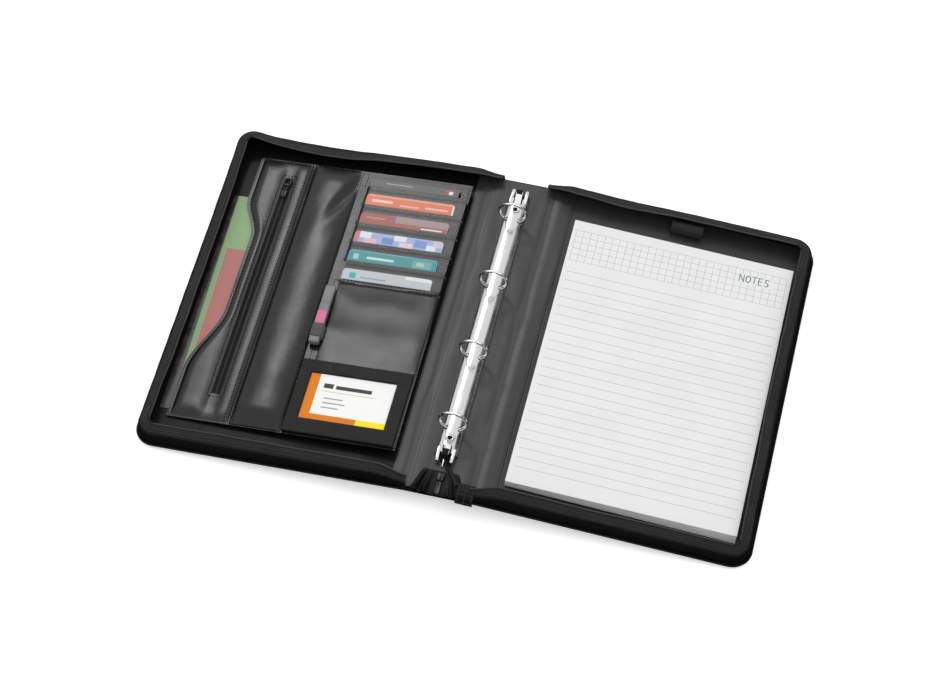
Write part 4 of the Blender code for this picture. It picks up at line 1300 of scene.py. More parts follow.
def usb():
    low, high = extent("usb_stick", ORGANISER)
    middle = (low[0] + high[0]) / 2
    bottom, top = low[2], high[2]
    rows = spaced(low[1], high[1], 4 * MM, (0.3 * MM, 0.9 * MM, 2 * MM, 3.2 * MM))
    count = 32

    def ring(v):
        end = min(v - low[1], high[1] - v)
        squeeze = math.sqrt(max(1 - (1 - min(end / (1.6 * MM), 1)) ** 2, 0.03))
        half_u, half_w = (high[0] - low[0]) / 2 * squeeze, (top - bottom) / 2 * (0.55 + 0.45 * squeeze)
        joint = 1 - 0.06 * bell(v, high[1] - 20 * MM, 0.5 * MM)
        spots = []
        for k in range(count):
            angle = 2 * math.pi * k / count
            c, s = math.cos(angle), math.sin(angle)
            power = 0.24
            spots.append(ORGANISER.at(
                middle + half_u * joint * math.copysign(abs(c) ** power, c),
                v,
                (bottom + top) / 2 + half_w * joint * math.copysign(abs(s) ** power, s),
            ))
        return spots

    verts, faces = [], []
    extra = [high[1] - 20 * MM + d * MM for d in (-0.7, -0.3, 0, 0.3, 0.7)]
    rows = with_lines(rows, extra, 0.2 * MM)
    for v in rows:
        verts += ring(v)
    for i in range(len(rows) - 1):
        for k in range(count):
            m = (k + 1) % count
            faces.append([i * count + k, i * count + m, (i + 1) * count + m, (i + 1) * count + k])
    faces.append(list(range(count)))
    faces.append([(len(rows) - 1) * count + k for k in range(count)])
    shell = plastic("usb_shell", (0.13, 0.132, 0.135), 0.4)
    piece("usb_body", verts, faces, shell, "usb_stick", stands_for=["usb_stick"], slot="usb_plastic",
          sharp=50)
    pink = plastic("usb_label_print", (0.66, 0.09, 0.28), 0.45)
    rounded_sheet("usb_label", ORGANISER, (middle - 4.3 * MM, low[1] + 22 * MM),
                  (middle + 4.3 * MM, high[1] - 30 * MM),
                  lambda u, v: top + 0.12 * MM, 1.4 * MM, 0.3 * MM, pink, "usb_stick", slot="usb_plastic")

    loop_low, loop_high = extent("usb_loop", ORGANISER)
    rows = spaced(loop_low[1], loop_high[1], 3 * MM, (0.3 * MM, 0.9 * MM))
    foot = 1.9 * MM
    half_u = (loop_high[0] - loop_low[0]) / 2
    crest = loop_high[2]
    across = [k / 28 for k in range(29)]

    def loop_spot(v, share):
        angle = math.pi * share
        c, s = math.cos(angle), math.sin(angle)
        u = middle + half_u * math.copysign(abs(c) ** 0.5, c)
        w = foot + (crest - foot) * abs(s) ** 0.5
        return u, v, w

    top_grid = [[ORGANISER.at(*loop_spot(v, share)) for share in across] for v in rows]
    inner_grid = []
    for v in rows:
        line = []
        for share in across:
            u, _, w = loop_spot(v, share)
            line.append(ORGANISER.at(middle + (u - middle) * 0.9, v, foot + (w - foot) * 0.9))
        inner_grid.append(line)
    verts, faces, _ = sheet_mesh(top_grid, inner_grid)
    piece("usb_elastic", verts, faces, GREY_ELASTIC, "organiser", stands_for=["usb_loop"], slot="elastic")


def brochure():
    low, high = extent("brochure", FRONT)
    made, tree, shader, tint = paper_base("brochure_print", (0.8, 0.8, 0.78), 0.4)
    x, y = print_place(tree)
    slant = calc(tree, "MULTIPLY", y, 0.0214)
    along = calc(tree, "ADD", x, slant)
    cloud = node(tree, "ShaderNodeTexNoise", {"Vector": object_place(tree), "Scale": 110.0, "Detail": 5.0})
    picture = blend_colours(tree, spread(tree, cloud.outputs[0], 0.4, 0.6, 0, 1), (0.006, 0.007, 0.005),
                            (0.04, 0.03, 0.025))
    ink(tree, shader, tint, [
        (block(tree, along, y, -0.01, 9.4 * MM, 0, 0.248), picture),
        (block(tree, along, y, 9.4 * MM, 0.1, 0, 0.248), (0.16, 0.30, 0.10)),
        (block(tree, along, y, 14.5 * MM, 0.1, 30 * MM, 186 * MM), (0.34, 0.07, 0.06)),
    ])

    def height(u, v):
        return high[2] - 0.15 * MM * (0.5 + ripple(u, v, 60 * MM, 2.0))

    rounded_sheet("brochure_leaf", FRONT, low, high, height, 0.5 * MM, 0.35 * MM, made, "front_cover",
                               printed=(high[0], low[1], -1), stands_for=["brochure"], slot="brochure",
                  sharp=50)


# ---------------------------------------------------------------- writing pad and pen loop

def pad():
    low, high = extent("pad_pocket_panel", BACK)
    sheet_low, sheet_high = extent("pad_top_sheet", BACK)

    def pocket_top(u, v):
        edge = min(high[0] - u, u - low[0], high[1] - v, v - low[1])
        slack = 0.3 * MM * ripple(u, v, 45 * MM, 4.0)
        return high[2] + slack * smooth(edge / (5 * MM)) - rolled(edge, 0.6 * MM)

    rows = spaced(low[1], high[1], 8 * MM)
    columns = spaced(low[0], high[0], 8 * MM)
    sheet("pad_pocket", BACK, rows, columns, lambda v, u: (u, v, pocket_top(u, v)), 0.7 * MM, LINING_CLOTH,
          "back_cover", stands_for=["pad_pocket_panel"])
    runs = []
    for line in (
        (low[0] + 2 * MM, low[1] + 2 * MM, high[0] - 2 * MM, low[1] + 2 * MM),
        (low[0] + 2 * MM, low[1] + 2 * MM, low[0] + 2 * MM, high[1] - 2 * MM),
        (high[0] - 2 * MM, low[1] + 2 * MM, high[0] - 2 * MM, high[1] - 2 * MM),
        (low[0] + 2 * MM, high[1] - 2 * MM, high[0] - 2 * MM, high[1] - 2 * MM),
    ):
        runs.append(straight(BACK, *line, pocket_top))
    stitches("pad_pocket_stitches", runs, BACK.up, "back_cover")

    card_low, card_high = extent("pad_backing_card", BACK)
    grey_card = paper_base("backing_card_board", (0.34, 0.32, 0.29), 0.85)[0]
    rounded_sheet("pad_back_card", BACK, card_low, card_high, lambda u, v: card_high[2], 0.6 * MM, 0.5 * MM,
                  grey_card, "back_cover", stands_for=["pad_backing_card"], slot="backing_card", sharp=50)

    page_low, page_high = extent("pad_pages", BACK)
    leaves = 18
    pitch = (page_high[2] - page_low[2]) / leaves
    chance = random.Random(5)
    parts = []
    for k in range(leaves):
        w = page_low[2] + pitch * (k + 1)
        fan = 3.4 * MM * (1 - k / leaves) + chance.uniform(-0.2, 0.2) * MM
        edge_low = page_low[1] + 0.6 * MM
        side = chance.uniform(-0.18, 0.18) * MM
        rows = spaced(edge_low, page_high[1] - 0.15 * MM, 40 * MM, (0.5 * MM, 6 * MM))
        columns = spaced(page_low[0] + 0.3 * MM + side, page_high[0] - 0.3 * MM + side, 40 * MM,
                         (0.5 * MM, 6 * MM))

        def leaf_height(u, v):
            curl = 0.5 * MM * k / leaves * smooth((page_low[1] + 25 * MM - v) / (25 * MM))
            return w + curl * smooth((u - page_low[0]) / (80 * MM))

        def slipped(u, v):
            across = (u - page_low[0]) / (page_high[0] - page_low[0])
            return v - fan * (0.25 + 0.75 * across) * smooth((page_low[1] + 30 * MM - v) / (30 * MM))

        top = [[BACK.at(u, slipped(u, v), leaf_height(u, v)) for u in columns] for v in rows]
        bottom = [[BACK.at(u, slipped(u, v), leaf_height(u, v) - pitch * 0.9) for u in columns] for v in rows]
        verts, faces, _ = sheet_mesh(top, bottom)
        parts.append((verts, faces))
    verts, faces = joined(parts)
    leaf_paper = paper_base("leaf_paper", (0.73, 0.73, 0.72), 0.8)[0]
    piece("pad_leaves", verts, faces, leaf_paper, "back_cover", stands_for=["pad_pages"], slot="paper",
          sharp=50)

    def sheet_top(u, v):
        curl = 0.55 * MM * smooth((sheet_low[1] + 25 * MM - v) / (25 * MM))
        wave = 0.12 * MM * ripple(u, v, 90 * MM, 6.0)
        return sheet_high[2] + curl * smooth((u - sheet_low[0]) / (80 * MM)) + wave

    rounded_sheet("pad_sheet", BACK, (sheet_low[0], sheet_low[1]), (sheet_high[0], sheet_high[1]), sheet_top,
                  0.5 * MM, 0.2 * MM, ruled_paper(sheet_high[1] - sheet_low[1], sheet_high[0] - sheet_low[0]),
                  "back_cover", printed=(sheet_low[0], sheet_low[1], 1), stands_for=["pad_top_sheet"],
                  slot="paper",
                  sharp=50)


def ruled_paper(length, width):
    """Paper printed with a small grid at its head and ruled lines below."""
    made, tree, shader, tint = paper_base("ruled_paper", (0.755, 0.76, 0.755), 0.75)
    x, y = print_place(tree)
    down = calc(tree, "SUBTRACT", length, y)
    cell, left = 7 * MM, 4 * MM
    grid_top, grid_bottom = 11 * MM, 46 * MM
    in_grid = block(tree, x, down, left - 0.2 * MM, width - left + 0.2 * MM, grid_top - 0.2 * MM,
                    grid_bottom + 0.2 * MM)
    columns = int((width - 2 * left) / cell + 0.5)
    upright = rules(tree, x, left, (width - 2 * left) / columns, columns + 1, 0.3 * MM)
    level = rules(tree, down, grid_top, cell, 6, 0.3 * MM)
    lines = calc(tree, "MAXIMUM", upright, level)
    grid = calc(tree, "MULTIPLY", in_grid, lines)
    ruled = rules(tree, down, 59.5 * MM, 10 * MM, 23, 0.34 * MM)
    ruled = calc(tree, "MULTIPLY", ruled, inside(tree, x, left, width - left))
    pale = (0.3, 0.32, 0.33)
    heading = block(tree, x, down, width - 49 * MM, width - 16 * MM, 16.5 * MM, 26.5 * MM)
    ink(tree, shader, tint, [
        (grid, pale),
        (calc(tree, "MULTIPLY", heading, 0.9), (0.755, 0.76, 0.755)),
        (ruled, (0.26, 0.29, 0.31)),
    ])
    return made


def heading():
    """The generic heading NOTES, drawn as flat strokes on the top sheet."""
    low, high = extent("pad_top_sheet", BACK)
    strokes = {
        "N": [((0, 0), (0, 1)), ((0, 1), (0.62, 0)), ((0.62, 0), (0.62, 1))],
        "O": [((0.34 + 0.33 * math.cos(a), 0.5 + 0.5 * math.sin(a)),
               (0.34 + 0.33 * math.cos(b), 0.5 + 0.5 * math.sin(b)))
              for a, b in ((k * math.pi / 8, (k + 1) * math.pi / 8) for k in range(16))],
        "T": [((0, 1), (0.62, 1)), ((0.31, 0), (0.31, 1))],
        "E": [((0, 0), (0, 1)), ((0, 0), (0.5, 0)), ((0, 0.52), (0.44, 0.52)), ((0, 1), (0.5, 1))],
        "S": [((0.04, 0.08), (0.2, 0)), ((0.2, 0), (0.4, 0.04)), ((0.4, 0.04), (0.5, 0.24)),
              ((0.5, 0.24), (0.4, 0.44)),
              ((0.4, 0.44), (0.12, 0.56)), ((0.12, 0.56), (0.02, 0.76)), ((0.02, 0.76), (0.12, 0.96)),
              ((0.12, 0.96), (0.32, 1)), ((0.32, 1), (0.48, 0.9))],
    }
    size, gap = 7.6 * MM, 0.93
    start_u, start_v = high[0] - 48 * MM, high[1] - 25 * MM
    parts = []
    for index, letter in enumerate("NOTES"):
        for a, b in strokes[letter]:
            first = Vector((start_u + (a[0] + index * gap) * size * 0.86, start_v + a[1] * size, 0))
            second = Vector((start_u + (b[0] + index * gap) * size * 0.86, start_v + b[1] * size, 0))
            run = (second - first).normalized()
            side = Vector((-run.y, run.x, 0)) * 0.5 * MM
            first, second = first - run * 0.4 * MM, second + run * 0.4 * MM
            corners = [first + side, second + side, second - side, first - side]
            verts = [BACK.at(c.x, c.y, high[2] + w * MM) for w in (0.08, -0.1) for c in corners]
            faces = [[0, 1, 2, 3], [7, 6, 5, 4], [0, 4, 5, 1], [1, 5, 6, 2], [2, 6, 7, 3], [3, 7, 4, 0]]
            parts.append((verts, faces))
    verts, faces = joined(parts)
    teal_ink = paper_base("heading_ink", (0.20, 0.27, 0.31), 0.7)[0]
    piece("pad_heading", verts, faces, teal_ink, "back_cover", slot="paper", sharp=20)


def pen_loop():
    low, high = extent("pen_loop", BACK)
    middle = (low[1] + high[1]) / 2
    centre = high[2] - (high[1] - low[1]) / 2
    radius = (high[1] - low[1]) / 2
    rows = spaced(low[0], high[0], 3 * MM, (0.3 * MM, 0.9 * MM, 1.6 * MM))
    around = [k / 40 for k in range(41)]

    def line(u, size):
        spots = []
        for share in around:
            angle = math.radians(-62 + 304 * share)
            wave = 0.15 * MM * ripple(u, share, 9 * MM, 3.0)
            spots.append(BACK.at(u, middle + (size + wave) * math.cos(angle),
                                 centre + (size + wave) * math.sin(angle)))
        return spots

    top = [line(u, radius - 0.1 * MM) for u in rows]
    bottom = [line(u, radius - 0.9 * MM) for u in rows]
    verts, faces, _ = sheet_mesh(top, bottom)
    piece("pen_elastic", verts, faces, ELASTIC, "back_cover", stands_for=["pen_loop"], slot="elastic")
    runs = []
    for u in (low[0] + 2 * MM, high[0] - 2 * MM):
        runs.append([BACK.at(u, middle + (radius + 0.02 * MM) * math.cos(math.radians(a)),
                             centre + (radius + 0.02 * MM) * math.sin(math.radians(a))) for a in range(20,
                                 176, 8)])
    stitches("pen_loop_stitches", runs, BACK.up, "back_cover")
    rows = spaced(low[0] + 0.5 * MM, low[0] + 6 * MM, 2 * MM, (0.3 * MM, 0.9 * MM))
    columns = [k / 8 for k in range(9)]

    def tab_spot(u, share):
        v = middle + radius * 0.6 + (HALF_LENGTH - 6 * MM - middle - radius * 0.6) * share
        return u, v, high[2] - 3.4 * MM + 1.8 * MM * share

    sheet("pen_loop_tab", BACK, rows, columns, tab_spot, 0.8 * MM, BLACK_LEATHER, "back_cover")


# ---------------------------------------------------------------- ring mechanism

HOUSING_LOW, HOUSING_HIGH = extent("ring_housing", SPINE)
RING_X = (HOUSING_LOW[0] + HOUSING_HIGH[0]) / 2
RING_Y = (HOUSING_LOW[1] + HOUSING_HIGH[1]) / 2
WIRE = 1.5 * MM


def lofted(rings, closed_ends=True):
    """Verts and faces of a skin over rings that all have the same number of points."""
    count = len(rings[0])
    verts = [point for ring in rings for point in ring]
    faces = []
    for i in range(len(rings) - 1):
        for k in range(count):
            m = (k + 1) % count
            faces.append([i * count + k, i * count + m, (i + 1) * count + m, (i + 1) * count + k])
    if closed_ends:
        faces.append(list(range(count)))
        faces.append([(len(rings) - 1) * count + k for k in range(count)])
    return verts, faces


def housing():
    """The arched plate over the blades, with slots for the wires and pressed dimples."""
    half = (HOUSING_HIGH[0] - HOUSING_LOW[0]) / 2
    low, high = HOUSING_LOW[1], HOUSING_HIGH[1]
    middles = [RING_Y + offset for offset in (-120 * MM, -40 * MM, 40 * MM, 120 * MM)]
    slot_x, slot_half_x, slot_half_y = 6.9 * MM, 2.1 * MM, 2.4 * MM
    rivets = [(extent(name, SPINE)[0][1] + extent(name, SPINE)[1][1]) / 2 for name in ("rivet_top",
        "rivet_bottom")]
    notch_half, notch = 4.2 * MM, 15 * MM

    rows = spaced(low, high, 5 * MM)
    lines = []
    for middle in middles:
        lines += [middle - slot_half_y, middle + slot_half_y, middle - slot_half_y - 1 * MM,
                  middle + slot_half_y + 1 * MM]
    lines += [low + notch, high - notch]
    dimples = [RING_Y + offset for offset in (-82 * MM, -24 * MM, 24 * MM, 82 * MM)]
    for dimple in dimples:
        lines += [dimple + d * MM for d in (-3, -2, -1, 0, 1, 2, 3)]
    rows = with_lines(rows, sorted(lines), 0.5 * MM)
    columns = []
    for s in (-1, -0.985, -0.95, -0.9):
        columns.append(s * half)
    columns += [-slot_x - slot_half_x * 0.97, -slot_x, -slot_x + slot_half_x]
    columns += [x * MM for x in (-4.2, -3.6, -2.9, -2.2, -1.5, -0.8, 0)]
    columns = sorted(set(columns + [-c for c in columns]))

    def height(x, y):
        share = min(abs(x) / half, 1)
        arch = HOUSING_LOW[2] + 0.2 * MM + (HOUSING_HIGH[2] - HOUSING_LOW[2] - 0.2 * MM) * (1 - share ** 2.3) ** 0.62
        end = min(y - low, high - y)
        arch -= 1.2 * MM * (1 - smooth(end / (7 * MM))) * (1 - share)
        for dimple in dimples:
            arch -= 0.2 * MM * math.exp(-((y - dimple) / (1.6 * MM)) ** 2 - (x / (2.0 * MM)) ** 2)
        for rivet in rivets:
            arch -= 0.35 * MM * math.exp(-((y - rivet) / (4.5 * MM)) ** 2 - (x / (4 * MM)) ** 2)
        return arch

    def keep(i, j):
        x, y = (columns[j] + columns[j + 1]) / 2, (rows[i] + rows[i + 1]) / 2
        if abs(abs(x) - slot_x) < slot_half_x and any(abs(y - m) < slot_half_y for m in middles):
            return False
        in_notch = abs(x) < notch_half and (y < low + notch - 6 * MM or y > high - notch + 6 * MM)
        return not in_notch

    sheet("arched_plate", SPINE, rows, columns, lambda y, x: (RING_X + x, y, height(x, y)), 0.7 * MM,
          PRESSED_STEEL, "spine",
          keep, stands_for=["ring_housing"], slot="chrome", sharp=40)
    for name in ("rivet_top", "rivet_bottom"):
        rivet_low, rivet_high = extent(name, SPINE)
        middle = [(a + b) / 2 for a, b in zip(rivet_low, rivet_high)]
        outer = (rivet_high[0] - rivet_low[0]) / 2
        base = height(0, middle[1])
        rings = []
        for radius, rise in (
            (1.0, -0.3), (1.0, 0.3), (0.97, 0.75), (0.9, 1.05), (0.8, 1.15), (0.7, 1.05), (0.64, 0.8),
            (0.62, 0.3), (0.6, -0.3), (0.3, -0.4), (0.02, -0.4),
        ):
            rings.append([SPINE.at(middle[0] + outer * radius * math.cos(a),
                                   middle[1] + outer * radius * math.sin(a),
                                   base + rise * MM) for a in (2 * math.pi * k / 36 for k in range(36))])
        verts, faces = lofted(rings)
        piece("hollow_" + name, verts, faces, CHROME, "spine", stands_for=[name], slot="chrome")
        seat = [SPINE.at(middle[0] + outer * 0.61 * math.cos(a), middle[1] + outer * 0.61 * math.sin(a),
                         base - 0.05 * MM)
                for a in (2 * math.pi * k / 24 for k in range(24))]
        tip = [point + SPINE.up * 0.25 * MM for point in seat]
        verts, faces = lofted([seat, tip])
        piece("well_" + name, verts, faces, RUBBER, "spine", slot="zinc")
        groove = [SPINE.at(middle[0] + outer * 1.22 * math.cos(a), middle[1] + outer * 1.22 * math.sin(a),
                           height(outer * 1.22 * math.cos(a),
                                  middle[1] + outer * 1.22 * math.sin(a)) + 0.05 * MM)
                  for a in (2 * math.pi * k / 36 for k in range(36))]
        verts, faces = tube_mesh(groove, 0.4 * MM, 8, closed=True)
        piece("groove_" + name, verts, faces, ZINC, "spine", slot="zinc")
    for side in ("left", "right"):
        blade = frame["nodes"]["ring_blade_" + side]
        blade.data.materials.clear()
        blade.data.materials.append(ZINC)


def end_legs():
    """The housing's folded legs beyond both ends, with the dark catch between them and its pin."""
    for word, way, end, reach in (("top", 1, HOUSING_HIGH[1], 11 * MM),
                                  ("bottom", -1, HOUSING_LOW[1], 9.5 * MM)):
        for side, hand in ((-1, "left"), (1, "right")):
            rings = []
            for step, size in ((-5, 1.0), (0, 1.0), (0.5, 1.0), (0.85, 0.96), (0.97, 0.8), (1.0, 0.55)):
                y = end + way * (step * MM if step < 0 else reach * step)
                x = RING_X + side * (6.9 - 0.5 * max(step, 0)) * MM
                ring = []
                for k in range(20):
                    angle = 2 * math.pi * k / 20
                    c, s = math.cos(angle), math.sin(angle)
                    ring.append(SPINE.at(x + 1.9 * MM * size * math.copysign(abs(c) ** 0.6, c), y,
                                         8.2 * MM + 1.7 * MM * size * math.copysign(abs(s) ** 0.6, s)))
                rings.append(ring)
            verts, faces = lofted(rings)
            piece("leg_%s_%s" % (word, hand), verts, faces, PRESSED_STEEL, "spine", slot="chrome")
        rows = spaced(-4.4 * MM, 4.4 * MM, 1.4 * MM, (0.3 * MM, 0.8 * MM, 1.5 * MM))
        columns = spaced(-3.9 * MM, 3.9 * MM, 1.2 * MM, (0.3 * MM, 0.8 * MM, 1.5 * MM))
        middle_y = end + way * 3.2 * MM

        def spot(y, x):
            edge = min(4.4 * MM - abs(y), 3.9 * MM - abs(x))
            return RING_X + x, middle_y + y, 6.5 * MM - rolled(edge,
                1.3 * MM) - 0.5 * MM * (x / (3.9 * MM)) ** 2

        sheet("catch_" + word, SPINE, rows, columns, spot, 1.8 * MM, RUBBER, "spine", slot="zinc")
        pin = [SPINE.at(RING_X - 0.6 * MM, end + way * (5 + 1.6 * k) * MM, 5.7 * MM) for k in range(6)]
        verts, faces = tube_mesh(pin, lambda k: (0.8, 0.9, 0.9, 0.9, 0.85, 0.5)[k] * MM, 12)
        piece("pin_" + word, verts, faces, CHROME, "spine", slot="chrome")


def ring_wires():
    """Each ring is a left and a right wire that meet over the middle of the housing."""
    for k in range(4):
        low, high = extent("ring_half_right_%d" % (k + 1), SPINE)
        y = (low[1] + high[1]) / 2
        ring_radius = (extent("ring_half_right_1", SPINE)[1][0] - RING_X) - WIRE
        centre = high[2] - WIRE - ring_radius
        for side, word in ((-1, "left"), (1, "right")):
            path = [SPINE.at(RING_X + side * x * MM, y, w * MM) for x,
                    w in ((6.2, 6.3), (6.2, 7.6), (6.25, 9.0), (6.7, 9.9))]
            gap = 0.7
            for step in range(41):
                angle = math.radians(-57 + (90 - gap + 57) * step / 40)
                spot = (RING_X + side * ring_radius * math.cos(angle), y,
                        centre + ring_radius * math.sin(angle))
                path.append(SPINE.at(*spot))
            body = "ring_" + word

            def radius(index):
                end = len(path) - 1 - index
                return WIRE * (0.84 if end == 0 else 0.96 if end == 1 else 1.0)

            verts, faces = tube_mesh(path, radius, 20)
            name = "ring_half_%s_%d" % (word, k + 1)
            piece("wire_%s_%d" % (word, k + 1), verts, faces, CHROME, body, stands_for=[name], slot="chrome")
            knuckle = path[1:5]
            thick = 2.15 * MM if side > 0 else 1.95 * MM
            knuckle = [knuckle[0].lerp(knuckle[-1], s) for s in (0, 0.25, 0.5, 0.75, 1)]
            verts, faces = tube_mesh(knuckle, lambda m: thick * (0.7, 0.9, 1.0, 0.96, 0.8)[m], 18)
            piece("knuckle_%s_%d" % (word, k + 1), verts, faces, CHROME, body, slot="chrome")


def levers():
    """The bent sheet levers at both ends, with the dark parts they press on."""
    for word, way, body in (("top", 1, "lever_top"), ("bottom", -1, "lever_bottom")):
        low, high = extent(body, SPINE)
        pivot_y = RING_Y + way * 137 * MM
        middle = (low[0] + high[0]) / 2
        profile = [
            (-4, 8.2), (-2.5, 9.6), (0, 11.2), (3.5, 12.4), (6.5, 13.4), (9, 15.0), (11.5, 16.2), (14, 16.0),
        ]
        rows = [k / 34 for k in range(35)]
        half = (high[0] - low[0]) / 2
        columns = [-1, -0.96, -0.85, -0.6, -0.3, 0, 0.3, 0.6, 0.85, 0.96, 1]

        def spot(share, side):
            x = share * (len(profile) - 1)
            k = min(int(x), len(profile) - 2)
            t = x - k
            y = profile[k][0] + (profile[k + 1][0] - profile[k][0]) * t
            w = profile[k][1] + (profile[k + 1][1] - profile[k][1]) * t
            width = half * (0.78 + 0.22 * smooth(share * 2.2)) * (1 - 0.18 * smooth((share - 0.9) / 0.1))
            return middle + side * width, pivot_y + way * y * MM, w * MM - 0.9 * MM * abs(side) ** 2.5

        local = [[spot(share, side) for side in columns] for share in rows]
        top = [[SPINE.at(*p) for p in line] for line in local]
        bottom = [[SPINE.at(p[0], p[1], p[2] - 0.9 * MM) for p in line] for line in local]
        verts, faces, _ = sheet_mesh(top, bottom)
        piece("press_plate_" + word, verts, faces, CHROME, body, stands_for=[body], slot="chrome")
        pad_rows = spaced(-3.6 * MM, 3.6 * MM, 1.2 * MM, (0.25 * MM, 0.7 * MM, 1.3 * MM))
        pad_columns = spaced(-half * 0.82, half * 0.82, 1.2 * MM, (0.25 * MM, 0.7 * MM, 1.3 * MM))

        def cap_spot(y, x):
            share = 12.5 * MM + (y if way < 0 else y * 0.6)
            edge = min(3.6 * MM - abs(y), half * 0.82 - abs(x))
            return middle + x, pivot_y + way * share, 17.4 * MM - rolled(edge,
                1.2 * MM) - 0.4 * MM * (x / half) ** 2

        sheet("lever_cap_" + word, SPINE, pad_rows, pad_columns, cap_spot, 1.6 * MM, RUBBER, body,
              slot="zinc")
        rod = [SPINE.at(middle - half * 0.9 + 1.8 * half * k / 6, pivot_y, 8 * MM) for k in range(7)]
        verts, faces = tube_mesh(rod, 1.0 * MM, 12)
        piece("lever_pin_" + word, verts, faces, DARK_METAL, body, slot="zinc")


# ---------------------------------------------------------------- zip sliders

def slider_body(name, place, middle, size, look, body, cad, slot="zip_metal"):
    """A zip slider: a waisted, domed plate with a bridge that holds the puller."""
    mu, mv, mw = middle
    length, width, thick = size
    steps = 26
    rings = []
    for layer, (shrink, rise) in enumerate(((0.9, 0), (0.99, 0.12), (1, 0.3), (1, 0.62), (0.95, 0.82),
                                            (0.82, 0.95), (0.4, 1.0))):
        ring = []
        for k in range(steps * 2):
            angle = 2 * math.pi * k / (steps * 2)
            c, s = math.cos(angle), math.sin(angle)
            v = length / 2 * math.copysign(abs(s) ** 0.6, s) * shrink
            taper = 0.80 + 0.20 * smooth((v / length) + 0.5)
            waist = 1 - 0.12 * bell(v, -0.05 * length, 0.2 * length)
            u = width / 2 * math.copysign(abs(c) ** 0.5, c) * shrink * taper * waist
            ring.append(place.at(mu + u, mv + v, mw - thick / 2 + thick * rise))
        rings.append(ring)
    verts, faces = lofted(rings)
    piece(name, verts, faces, look, body, stands_for=[cad], slot=slot)


def bridge(name, place, spot, reach, rise, look, body, slot="zip_metal"):
    """The arched lug on a slider that the puller hangs from."""
    u, v, w = spot
    path = []
    for k in range(17):
        angle = math.pi * k / 16
        path.append(place.at(u, v + reach * math.cos(angle), w + rise * math.sin(angle)))
    verts, faces = tube_mesh(path, 0.62 * MM, 10)
    piece(name, verts, faces, look, body, slot=slot)


def oval_ring(place, middle, half_u, half_v, radius):
    path = []
    for k in range(48):
        angle = 2 * math.pi * k / 48
        c, s = math.cos(angle), math.sin(angle)
        path.append(place.at(middle[0] + half_u * math.copysign(abs(c) ** 0.8, c),
                             middle[1] + half_v * math.copysign(abs(s) ** 0.8, s), middle[2]))
    return tube_mesh(path, radius, 12, closed=True)


